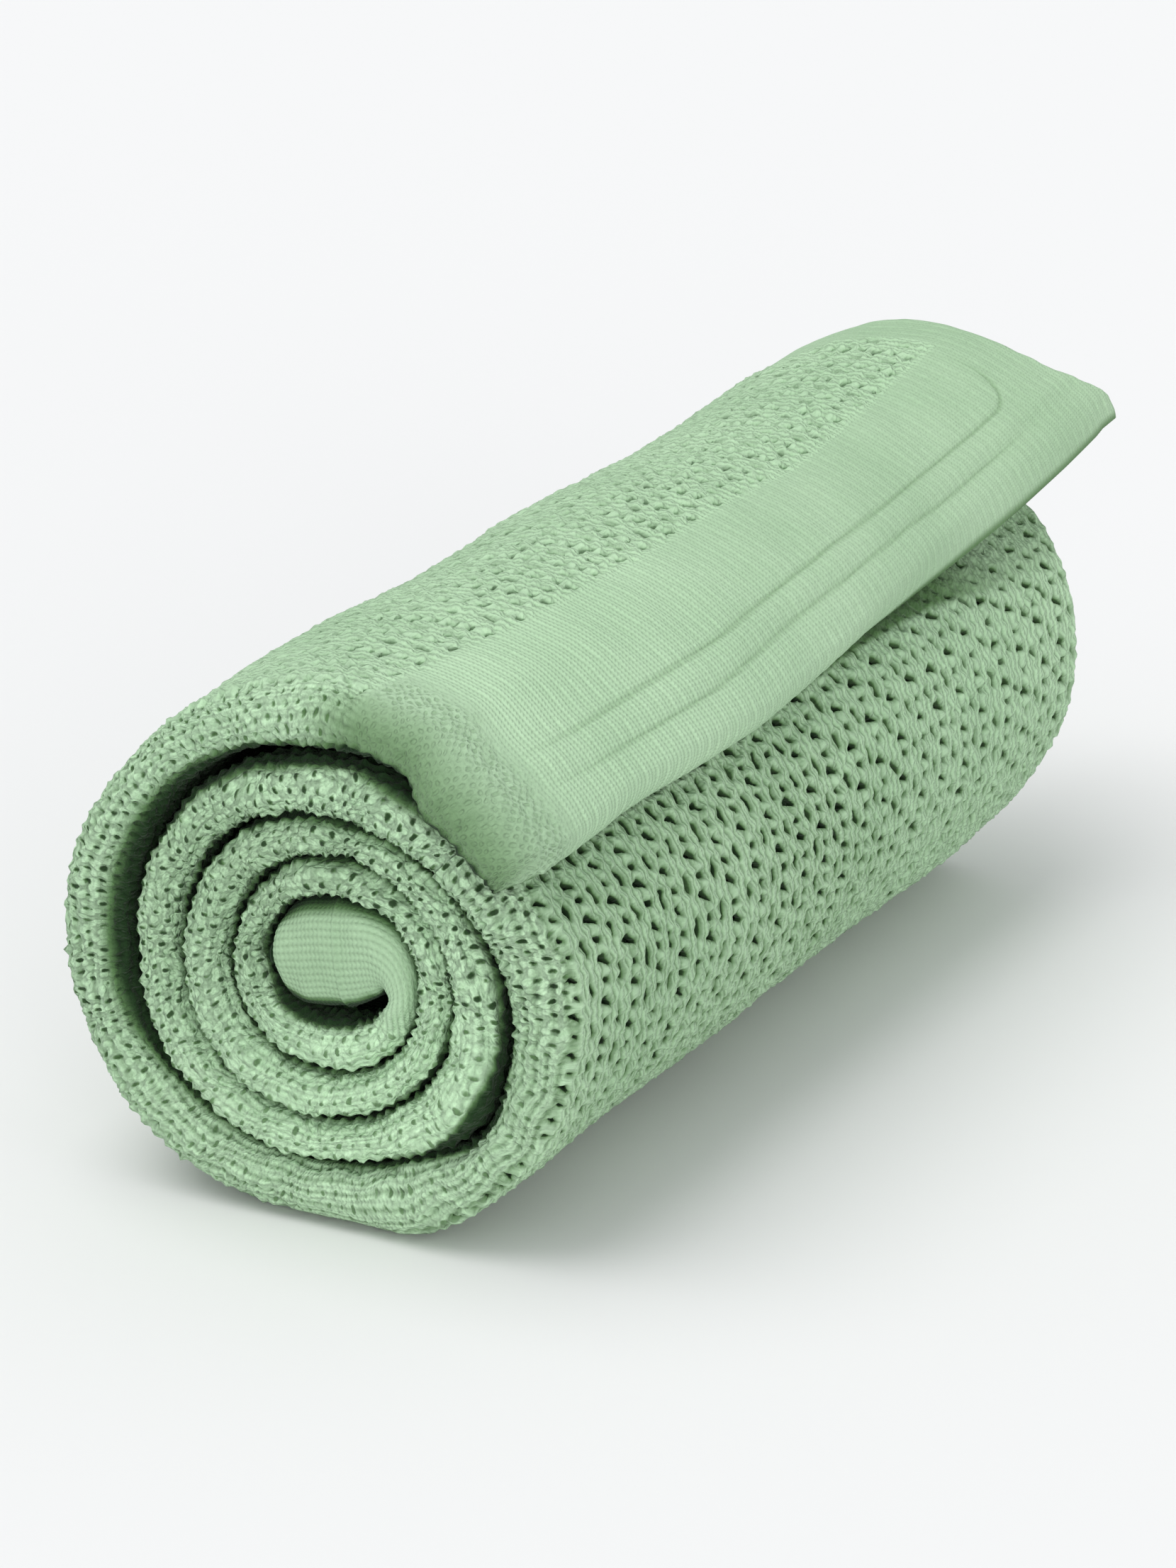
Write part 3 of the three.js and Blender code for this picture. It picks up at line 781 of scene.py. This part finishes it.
def far_edge_path(columns_side, columns_rim, width):
    """The free edge of the outer third at the far end of the inner turns; the width of cloth shown is by angle."""
    def path(angles):
        t = rib(angles)[2][:, None]
        cloth = np.minimum(CLOTH, (t - 2 * LAYER_GAP) / 3)
        q_end = (table(FREE_LENGTH, angles) - 1.6 + 1.7 * (1 - ramp(angles, FRONT_END, 422)))[:, None]
        start = table(BEND_FROM, angles)[:, None]
        u = np.linspace(-1, 0, columns_side, endpoint=False)[None, :] * table(width, angles)[:, None] + q_end      # from the bend's start
        turn = np.radians(table(TURNED_IN, angles))[:, None]

        # It comes up from under the outermost turn's end and covers it.
        sunk = (mix(0.6, -0.5, ramp(angles, FRONT_END - 4, FRONT_END - 1)) * (1 - ramp(angles, FRONT_END + 3, FRONT_END + 16)))[:, None]

        def bent(q, below):
            below = below + sunk
            past = np.maximum(q, 0)
            angle = np.minimum(past / BEND_RADIUS, turn)
            straight = past - angle * BEND_RADIUS
            y = start + np.minimum(q, 0) + (BEND_RADIUS - below) * np.sin(angle) + straight * np.cos(angle)
            d = BEND_RADIUS - (BEND_RADIUS - below) * np.cos(angle) + straight * np.sin(angle)
            return y, d

        y1, d1 = bent(u, 0.0 * t)
        rim = np.linspace(0, np.pi, columns_rim)[None, :]
        ye, de = bent(q_end + 0 * rim, cloth / 2 + 0 * rim)
        out_y, out_d = np.cos(np.minimum(q_end / BEND_RADIUS, turn)), np.sin(np.minimum(q_end / BEND_RADIUS, turn))
        yr = ye + cloth / 2 * (np.sin(rim) * out_y + np.cos(rim) * out_d)
        dr = de + cloth / 2 * (np.sin(rim) * out_d - np.cos(rim) * out_y)
        y2, d2 = bent(u[:, ::-1], cloth + 0 * u)
        y = np.concatenate([y1, yr, y2], 1)
        d = np.concatenate([d1, dr, d2], 1)
        v = np.concatenate([230 - q_end + u, 230 + 5 * rim / np.pi + 0 * t, 235 + (q_end - u[:, ::-1])], 1)
        return y, d, v
    return path


def spiral_angles(start, end, spacing):
    total = float(middle_length_at(end) - middle_length_at(start))
    n = max(4, int(total / spacing))
    s = np.linspace(middle_length_at(start), middle_length_at(end), n + 1)
    return np.interp(s, _mid, _fine)


def fold_relief(s, v, a):
    """Relief, painted shade and painted light of the near folds; the last number is 1 on knotty knit and -1 on plain
    knit.
    """
    w, u = to_lattice(s, v)
    w, u = uneven(w, u)
    plain = ramp(a, 1402, 1430)
    w, u = mix(w, v, plain), mix(u, s, plain)
    wales = -0.16 * np.cos(2 * np.pi * w / (2 * WALE))
    height = mix(lumps(w, u) + wales, core_stitches(s, v, a), plain) + 0.25 * waves(s, v, 30, 31) + 0.15 * waves(s, v, 12, 32)
    height = height - 3.0 * np.exp(-(((np.mod(a, 360) - 321) / 18) ** 2)) * (a < 720) * ramp(v, -3, 4)
    half = rib(a)[2] / 2
    quarter = np.pi / 4 * (1.5 * (half + NEAR_BULGE) - np.sqrt(half * NEAR_BULGE))
    at = np.mod(a, 360)
    wide = np.exp(-(((at - 322) / 20) ** 2)) * (a < 720) * (v > 0)             # the wide gap at the lower right
    slit = ramp(a, 1480, 1500) * (v < 0) + ramp(a, 1275, 1310) * (a < 1375) * (v < 0)  # under the pad
    flap = ramp(a, 398, 404) * (1 - ramp(a, 425, 455)) * (v > 0)                # the loose end's near edge lies on this
    flap = np.maximum(flap, 0.60 * ramp(a, 425, 455) * (1 - ramp(a, 495, 540)) * (v > 0))
    upper = (0.5 + 0.5 * np.cos(np.radians(at - 105))) ** 2 * ramp(a, 500, 540) * (v > 0)
    # Painted shade in the gaps between the turns, wider in the places above.
    dark = 0.97 * ramp(np.abs(v) / quarter, 0.62 - 0.24 * wide - 0.20 * slit - 0.42 * flap - 0.22 * upper,
                       0.95 - 0.43 * wide - 0.22 * slit - 0.36 * flap - 0.10 * upper)
    # Painted shade darker towards the upper left, painted light at the bottom, and a little painted shade on the core's
    # plain knit.
    dark = np.maximum(dark, 0.16 * (0.5 + 0.5 * np.cos(np.radians(at - 140))) * ramp(a, 430, 520))
    dark = dark - 0.18 * (0.5 + 0.5 * np.cos(np.radians(at - 275))) ** 2 * (1 - np.clip(5 * dark, 0, 1)) * (1 - plain) + 0.02 * plain
    painted_light_calm = ramp(at, 190, 240) * (1 - ramp(at, 345, 360))                       # painted light at the bottom and right: fainter dark eyes and knots, and a smoother bump
    return height, dark, mix(1 - 0.42 * painted_light_calm, -1.3, plain), w, u


CORE_LINE = 17.5              # stitched line before the free end of the cloth in the core


def core_stitches(s, v, a):
    end = middle_length_at(LAST_ANGLE)
    line = end - s - CORE_LINE
    wale = np.cos(2 * np.pi * (v + 0.08 * waves(s, v, 11, 33)) / WALE)
    course = np.cos(2 * np.pi * s / COURSE + np.pi * np.abs(((v / WALE + 0.5) % 1) - 0.5) * 2)
    return 0.10 * wale + 0.035 * course - 0.45 * np.exp(-((line / 0.45) ** 2)) + 0.10 * waves(s, v, 6, 34)


def edge_relief(s, v, a):
    height = 0.12 * waves(s, v, 4.0, 41) + 0.10 * np.cos(2 * np.pi * np.where(a < 470, v, s) / 2.7)
    # A little painted shade all over.
    return height, 0.10 + 0 * s, -1.0 + 0 * s, v, s


def far_fold_relief(s, v, a):
    w, u = uneven(v, s)
    # A little painted shade all over.
    return 0.8 * lumps(w, u) + 0.25 * waves(s, v, 30, 42), 0.15 + 0 * s, 1.0 + 0.0 * s, w, u


# ------------------------------------------------------------------ the hidden layers

SUNK = 2.5                    # how far under the knitted surface the plain layers lie


def layer_outline(angle):
    t = float(rib(np.array([angle]))[2][0])
    cloth = min(CLOTH, (t - 2 * LAYER_GAP) / 3)
    sunk = SUNK * cloth / CLOTH
    air = (t - 3 * cloth) / 2
    top, bottom = cloth + air, 2 * cloth + air
    creases = [-90, -30, 50]
    out = []

    def run(ys, depth):
        out.extend((y, depth) for y in ys)

    def arc(y, middle, half, bulge, degrees):
        out.extend((y + bulge * np.sin(np.radians(d)), middle - half * np.cos(np.radians(d))) for d in degrees)

    ys = [NEAR] + creases
    edge = 119.0
    run((ys + [104, edge])[::-1], sunk)
    arc(NEAR, t / 2, t / 2 - sunk, -(NEAR_BULGE - sunk), [30, 60, 90, 120, 150])
    run(ys + [FAR], t - sunk)
    half = (t - sunk - top) / 2
    arc(FAR, top + half, -half, FAR_BULGE - sunk, [45, 90, 135])
    run(([TUCKED_EDGE] + creases + [FAR])[::-1], top)
    run([TUCKED_EDGE] + creases + [FAR], bottom)
    out.append((FAR + 0.6, (bottom + t - cloth) / 2))
    run((ys + [FAR])[::-1], t - cloth)
    arc(NEAR, t / 2, -(t / 2 - cloth), -(NEAR_BULGE - cloth), [45, 90, 135])
    run(ys + [104, edge], cloth)
    return out


def hidden_layers(material):
    angles = np.concatenate([np.arange(38, 1260, 6.0), np.arange(1260, 1601, 5.0)])
    outlines = np.array([layer_outline(a) for a in angles])
    size = outlines.shape[1]
    P = place(angles[:, None], outlines[..., 0], outlines[..., 1])
    P[..., 2] = np.maximum(P[..., 2], 1.5)
    surface = Surface()
    n = len(angles)
    knit = np.stack([outlines[..., 0] + 125, np.broadcast_to(length_at(angles)[:, None], outlines.shape[:2]), -np.ones((n, size))], -1)
    # The hidden layers get painted shade, lighter on top where light falls straight in.
    surface.add(P, np.stack([np.broadcast_to(np.arange(size)[None, :] * 6.0, (n, size)), np.broadcast_to(length_at(angles)[:, None], (n, size))], -1), knit,
                1 - 0.5 * np.broadcast_to((ramp(angles, 48, 62) * (1 - ramp(angles, 115, 165)))[:, None], (n, size)), 0)
    j, k = np.arange(size), (np.arange(size) + 1) % size
    i = np.arange(n - 1)[:, None] * size
    a, b, c, d = i + j, i + k, i + size + k, i + size + j
    body = np.concatenate([np.stack([a, b, c], -1).reshape(-1, 3), np.stack([a, c, d], -1).reshape(-1, 3)])
    caps = []
    for offset, onward in ((0, False), ((n - 1) * size, True)):
        spans, back = [5, 6, 4, 4, 4], [5, 4, 4, 2, 4]
        spans, back = [5, 6, 4, 4, 4], [5, 4, 4, 2, 4]
        f, m = 0, size - 1
        for count, count_back in zip(spans, back):
            x = y = 0
            while x < count or y < count_back:
                if (x + 1) / count <= (y + 1) / count_back:
                    t = [f + x, f + x + 1, m - y]
                    x += 1
                else:
                    t = [f + x, m - y - 1, m - y]
                    y += 1
                caps.append([q + offset for q in (t if onward else t[::-1])])
            f += count
            m -= count_back
    surface.faces.append(np.concatenate([body, np.array(caps)]))
    surface.close()
    p = surface.points
    a, b, c = (p[surface.faces[:, x]] for x in range(3))
    if (a * np.cross(b, c)).sum() < 0:
        surface.faces = surface.faces[:, ::-1]
        surface.normals = -surface.normals
    return make_piece("blanket_layers", surface, surface.faces, material)


# ------------------------------------------------------------------ materials


def nodes_of(name):
    material = bpy.data.materials.new(name)
    material.use_nodes = True
    tree = material.node_tree
    shader = next(n for n in tree.nodes if n.type == "BSDF_PRINCIPLED")
    return material, tree, shader


def add(tree, kind, **values):
    node = tree.nodes.new(kind)
    for key, value in values.items():
        if hasattr(node, key):
            setattr(node, key, value)
        else:
            node.inputs[key.replace("_", " ")].default_value = value
    return node


def maths(tree, operation, a, b=None, c=None):
    node = tree.nodes.new("ShaderNodeMath")
    node.operation = operation
    for socket, value in zip(node.inputs, (a, b, c)):
        if value is None:
            continue
        if isinstance(value, (int, float)):
            socket.default_value = value
        else:
            tree.links.new(value, socket)
    return node.outputs[0]


def cotton(name):
    """Sage cotton yarn: soft colour changes, painted shade in the depths and painted light where the attribute is below
    zero, with V-shaped stitches and fibres as relief.
    """
    material, tree, shader = nodes_of(name)
    link = tree.links.new
    shader.inputs["Roughness"].default_value = 0.88
    shader.inputs["Specular IOR Level"].default_value = 0.12
    shader.inputs["Sheen Weight"].default_value = 0.09
    shader.inputs["Sheen Roughness"].default_value = 0.55
    shader.inputs["Sheen Tint"].default_value = (0.82, 1.0, 0.80, 1)

    knit = add(tree, "ShaderNodeAttribute", attribute_name="knit")
    dark = add(tree, "ShaderNodeAttribute", attribute_name="dark")
    split = tree.nodes.new("ShaderNodeSeparateXYZ")
    link(knit.outputs["Vector"], split.inputs[0])
    across, along, kind = split.outputs
    knotty, plain = maths(tree, "MAXIMUM", kind, 0.0), maths(tree, "MAXIMUM", maths(tree, "MULTIPLY", kind, -1.0), 0.0)

    # V-shaped stitches.
    wave = maths(tree, "PINGPONG", maths(tree, "DIVIDE", across, WALE), 0.5)     # 0 between wales, 0.5 in a wale's middle
    ridge = maths(tree, "SINE", maths(tree, "MULTIPLY", wave, 3.14159))
    course = maths(tree, "ADD", maths(tree, "DIVIDE", along, COURSE), wave)
    tooth = maths(tree, "SINE", maths(tree, "MULTIPLY", course, 6.28319))
    stitches = maths(tree, "ADD", ridge, maths(tree, "MULTIPLY", tooth, 0.28))

    # Small dark eyes and knots on the rounded folds; the darkness in the eyes and the knots' crevices is painted shade.
    round_the_roll = maths(tree, "COSINE", maths(tree, "MULTIPLY", along, 2 * np.pi / DOTS[0]))
    grid = maths(tree, "MULTIPLY", round_the_roll, maths(tree, "COSINE", maths(tree, "MULTIPLY", across, np.pi / DOTS[1])))
    uneven_size = add(tree, "ShaderNodeTexNoise", Scale=0.42, Detail=2.5, Roughness=0.65)
    link(knit.outputs["Vector"], uneven_size.inputs["Vector"])
    eye = tree.nodes.new("ShaderNodeMapRange")
    eye.interpolation_type = "SMOOTHSTEP"
    link(maths(tree, "ADD", grid, maths(tree, "MULTIPLY", maths(tree, "SUBTRACT", uneven_size.outputs["Fac"], 0.53), 2.1)), eye.inputs["Value"])
    eye.inputs["From Min"].default_value, eye.inputs["From Max"].default_value = 0.42, 0.96
    eye_dark = maths(tree, "MULTIPLY", eye.outputs["Result"], knotty)
    knots = add(tree, "ShaderNodeTexVoronoi", voronoi_dimensions="2D", feature="F1", Scale=0.56, Randomness=0.9)
    link(knit.outputs["Vector"], knots.inputs["Vector"])
    between = tree.nodes.new("ShaderNodeMapRange")
    between.interpolation_type = "SMOOTHSTEP"
    between.inputs["From Min"].default_value, between.inputs["From Max"].default_value = 0.34, 0.66
    link(knots.outputs["Distance"], between.inputs["Value"])
    crevice = maths(tree, "MULTIPLY", between.outputs["Result"], knotty)

    fibre = add(tree, "ShaderNodeTexNoise", Scale=1.9, Detail=3.0, Roughness=0.62)
    link(knit.outputs["Vector"], fibre.inputs["Vector"])
    place_of = tree.nodes.new("ShaderNodeTexCoord")
    fuzz = add(tree, "ShaderNodeTexNoise", Scale=2600.0, Detail=2.0, Roughness=0.7)
    link(place_of.outputs["Object"], fuzz.inputs["Vector"])
    smooth = maths(tree, "MULTIPLY", maths(tree, "MINIMUM", maths(tree, "MAXIMUM", maths(tree, "SUBTRACT", plain, 1.0), 0.0), 1.0), 0.28)
    # Fine seeds where the plain border turns over the near fold; painted shade in their pits.
    seedy = maths(tree, "MINIMUM", maths(tree, "MAXIMUM", maths(tree, "SUBTRACT", plain, 2.0), 0.0), 1.0)
    drift = add(tree, "ShaderNodeTexNoise", Scale=0.21, Detail=1.0, Roughness=0.5)
    link(knit.outputs["Vector"], drift.inputs["Vector"])
    sway = maths(tree, "MULTIPLY", maths(tree, "SUBTRACT", drift.outputs["Fac"], 0.5), 7.0)
    seed_grid = maths(tree, "MULTIPLY", maths(tree, "COSINE", maths(tree, "ADD", maths(tree, "MULTIPLY", along, 2 * np.pi / 2.2), sway)),
                      maths(tree, "COSINE", maths(tree, "SUBTRACT", maths(tree, "MULTIPLY", across, 2 * np.pi / 2.6), sway)))
    pit = tree.nodes.new("ShaderNodeMapRange")
    pit.interpolation_type = "SMOOTHSTEP"
    pit.inputs["From Min"].default_value, pit.inputs["From Max"].default_value = -0.1, 0.9
    link(maths(tree, "ADD", seed_grid, maths(tree, "MULTIPLY", maths(tree, "SUBTRACT", uneven_size.outputs["Fac"], 0.5), 1.6)), pit.inputs["Value"])
    seed_pit = maths(tree, "MULTIPLY", pit.outputs["Result"], seedy)
    relief = maths(tree, "ADD", maths(tree, "MULTIPLY", stitches, maths(tree, "SUBTRACT", 0.70, smooth)), maths(tree, "MULTIPLY", fibre.outputs["Fac"], 0.55))
    relief = maths(tree, "ADD", relief, maths(tree, "MULTIPLY", fuzz.outputs["Fac"], 0.30))
    relief = maths(tree, "SUBTRACT", relief, maths(tree, "MULTIPLY", eye_dark, 1.6))
    relief = maths(tree, "SUBTRACT", relief, maths(tree, "MULTIPLY", crevice, 1.5))
    relief = maths(tree, "SUBTRACT", relief, maths(tree, "MULTIPLY", seed_pit, 1.0))
    bump = add(tree, "ShaderNodeBump", Strength=0.85, Distance=0.00036)
    link(relief, bump.inputs["Height"])
    link(bump.outputs["Normal"], shader.inputs["Normal"])

    # Colour.
    patch = add(tree, "ShaderNodeTexNoise", Scale=28.0, Detail=3.0, Roughness=0.55)
    link(place_of.outputs["Object"], patch.inputs["Vector"])
    tones = tree.nodes.new("ShaderNodeValToRGB")
    tones.color_ramp.elements[0].position, tones.color_ramp.elements[1].position = 0.30, 0.72
    tones.color_ramp.elements[0].color = (0.410, 0.598, 0.385, 1)
    tones.color_ramp.elements[1].color = (0.474, 0.664, 0.443, 1)
    link(patch.outputs["Fac"], tones.inputs["Fac"])
    yarn = add(tree, "ShaderNodeTexNoise", Scale=0.9, Detail=4.0, Roughness=0.7)
    link(knit.outputs["Vector"], yarn.inputs["Vector"])
    flecks = tree.nodes.new("ShaderNodeMapRange")
    flecks.inputs["From Min"].default_value, flecks.inputs["From Max"].default_value = 0.3, 0.7
    flecks.inputs["To Min"].default_value, flecks.inputs["To Max"].default_value = 0.93, 1.06
    link(yarn.outputs["Fac"], flecks.inputs["Value"])
    # Painted shade between the wales, in the knots' crevices and on smooth plain knit; painted light where the
    # attribute is below zero.
    groove = maths(tree, "SUBTRACT", maths(tree, "SUBTRACT", 0.36, maths(tree, "MULTIPLY", maths(tree, "MINIMUM", plain, 2.0), 0.15)), maths(tree, "MULTIPLY", knotty, 0.22))
    whole = maths(tree, "SUBTRACT", maths(tree, "SUBTRACT", 1.08, maths(tree, "MULTIPLY", smooth, 0.60)), maths(tree, "MINIMUM", dark.outputs["Fac"], 0.0))
    groove_shade = maths(tree, "SUBTRACT", whole, maths(tree, "MULTIPLY", groove, maths(tree, "SUBTRACT", 1.0, ridge)))
    groove_shade = maths(tree, "MULTIPLY", groove_shade, maths(tree, "SUBTRACT", 1.0, maths(tree, "MULTIPLY", crevice, 0.30)))
    shade = maths(tree, "MULTIPLY", flecks.outputs["Result"], groove_shade)
    contrast = maths(tree, "MULTIPLY", maths(tree, "SUBTRACT", yarn.outputs["Fac"], 0.44), maths(tree, "MULTIPLY", knotty, 1.15))
    shade = maths(tree, "MULTIPLY", shade, maths(tree, "ADD", contrast, 1.0))
    body = add(tree, "ShaderNodeVectorMath", operation="SCALE")
    link(tones.outputs["Color"], body.inputs[0])
    link(shade, body.inputs["Scale"])
    # Painted shade: the colour goes towards darker greens with the attribute, the eyes and the seed pits.
    depth = maths(tree, "MAXIMUM", maths(tree, "POWER", maths(tree, "MAXIMUM", dark.outputs["Fac"], 0.0), 1.1), maths(tree, "MULTIPLY", eye_dark, 0.93))
    depth = maths(tree, "MAXIMUM", depth, maths(tree, "MULTIPLY", seed_pit, 0.23))
    colour = body.outputs[0]
    for start, end, shade_colour in ((0.0, 0.62, (0.105, 0.205, 0.080, 1)), (0.62, 1.0, (0.008, 0.028, 0.008, 1))):
        step = tree.nodes.new("ShaderNodeMapRange")
        step.inputs["From Min"].default_value, step.inputs["From Max"].default_value = start, end
        link(depth, step.inputs["Value"])
        blend = tree.nodes.new("ShaderNodeMix")
        blend.data_type = "RGBA"
        first, second = [x for x in blend.inputs if x.type == "RGBA"]
        second.default_value = shade_colour
        link(colour, first)
        link(step.outputs["Result"], blend.inputs["Factor"])
        colour = [x for x in blend.outputs if x.type == "RGBA"][0]
    link(colour, shader.inputs["Base Color"])
    return material


def pale_floor():
    material, tree, shader = nodes_of("pale_floor")
    shader.inputs["Base Color"].default_value = (0.824, 0.824, 0.824, 1)
    shader.inputs["Roughness"].default_value = 0.95
    shader.inputs["Specular IOR Level"].default_value = 0.1
    return material


# ------------------------------------------------------------------ the blanket

knit_material = cotton("cotton_knit")

turn = Surface()
hole_count = outermost_turn(turn)
turn.close()
names = ["knit_flap", "knit_back", "knit_base", "knit_front"]
outer_pieces = split_rows(turn, names, knit_material)
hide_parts("blanket")

coarse = 1.0
near = Surface()
strip(near, spiral_angles(FRONT_END, 1380, 0.55 * coarse), near_path(5, int(40 / coarse) + 1, 4.5), fold_relief, 0)
near.close()
near_piece = make_piece("knit_near_folds", near, near.faces, knit_material)

core = Surface()
strip(core, spiral_angles(1380, LAST_ANGLE, 0.40 * coarse), near_path(10, int(76 / coarse) + 1, 4.5), fold_relief, 0, taper_end=True)
core.close()
core_piece = make_piece("knit_core", core, core.faces, knit_material)

far_folds = Surface()
strip(far_folds, spiral_angles(33, 240, 0.9 * coarse), far_fold_path(5, 16, 5.0), far_fold_relief, 0, taper_start=True)
strip(far_folds, spiral_angles(392, LAST_ANGLE, 0.9 * coarse), far_fold_path(5, 16, 5.0), far_fold_relief, 0, taper_end=True)
far_folds.close()
far_piece = make_piece("knit_far_folds", far_folds, far_folds.faces, knit_material)

edges = Surface()
strip(edges, spiral_angles(FRONT_END - 4, 480, 0.9 * coarse), far_edge_path(26, 7, [(0, 34), (425, 34), (480, 7)]), edge_relief, 0)
strip(edges, spiral_angles(480, LAST_ANGLE, 0.9 * coarse), far_edge_path(6, 7, [(0, 7), (1700, 7)]), edge_relief, 0, taper_end=True)
edges.close()
edge_piece = make_piece("knit_far_edge", edges, edges.faces, knit_material)

layers = hidden_layers(knit_material)

# ------------------------------------------------------------------ floor, light, camera

floor_mesh = bpy.data.meshes.new("floor")
floor_mesh.from_pydata([(-8, -8, -0.0005), (8, -8, -0.0005), (8, 8, -0.0005), (-8, 8, -0.0005)], [], [(0, 1, 2, 3)])
floor_mesh.materials.append(pale_floor())
floor = bpy.data.objects.new("floor", floor_mesh)
bpy.context.scene.collection.objects.link(floor)
floor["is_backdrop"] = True

world = bpy.data.worlds.new("studio")
world.use_nodes = True
background = next(n for n in world.node_tree.nodes if n.type == "BACKGROUND")
background.inputs["Color"].default_value = (0.96, 0.98, 1.0, 1)
background.inputs["Strength"].default_value = 0.68
bpy.context.scene.world = world


def sun(name, direction, spread, strength, colour=(1, 1, 1)):
    data = bpy.data.lights.new(name, "SUN")
    data.energy, data.angle, data.color = strength, np.radians(spread), colour
    made = bpy.data.objects.new(name, data)
    made.rotation_mode = "QUATERNION"
    made.rotation_quaternion = Vector(direction).to_track_quat("-Z", "Y")
    bpy.context.scene.collection.objects.link(made)


sun("key", (0.30, 0.16, -1.0), 50, 1.36, (1.0, 0.995, 0.985))
sun("front", (-0.62, 0.78, -0.14), 40, 1.38, (1.0, 0.995, 0.985))

AZIMUTH, ELEVATION, DISTANCE = 27.51, 20.13, 1.2709
TARGET = Vector((-0.00182, -0.01961, 0.0542))
az, el = np.radians(AZIMUTH), np.radians(ELEVATION)
back = Vector((np.sin(az) * np.cos(el), -np.cos(az) * np.cos(el), np.sin(el)))
camera_data = bpy.data.cameras.new("camera")
camera_data.lens, camera_data.sensor_width = 134.32, 36.0
camera_data.clip_start, camera_data.clip_end = 0.05, 50
camera = bpy.data.objects.new("camera", camera_data)
camera.location = TARGET + back * DISTANCE
camera.rotation_mode = "QUATERNION"
camera.rotation_quaternion = (-back).to_track_quat("-Z", "Y")
bpy.context.scene.collection.objects.link(camera)
bpy.context.scene.camera = camera

view = bpy.context.scene.view_settings
view.view_transform, view.look, view.exposure, view.gamma = "Standard", "None", 0.0, 1.0

triangles = {o.name: len(o.data.polygons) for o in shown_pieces()}
print("openings", hole_count, "triangles", triangles, sum(triangles.values()))
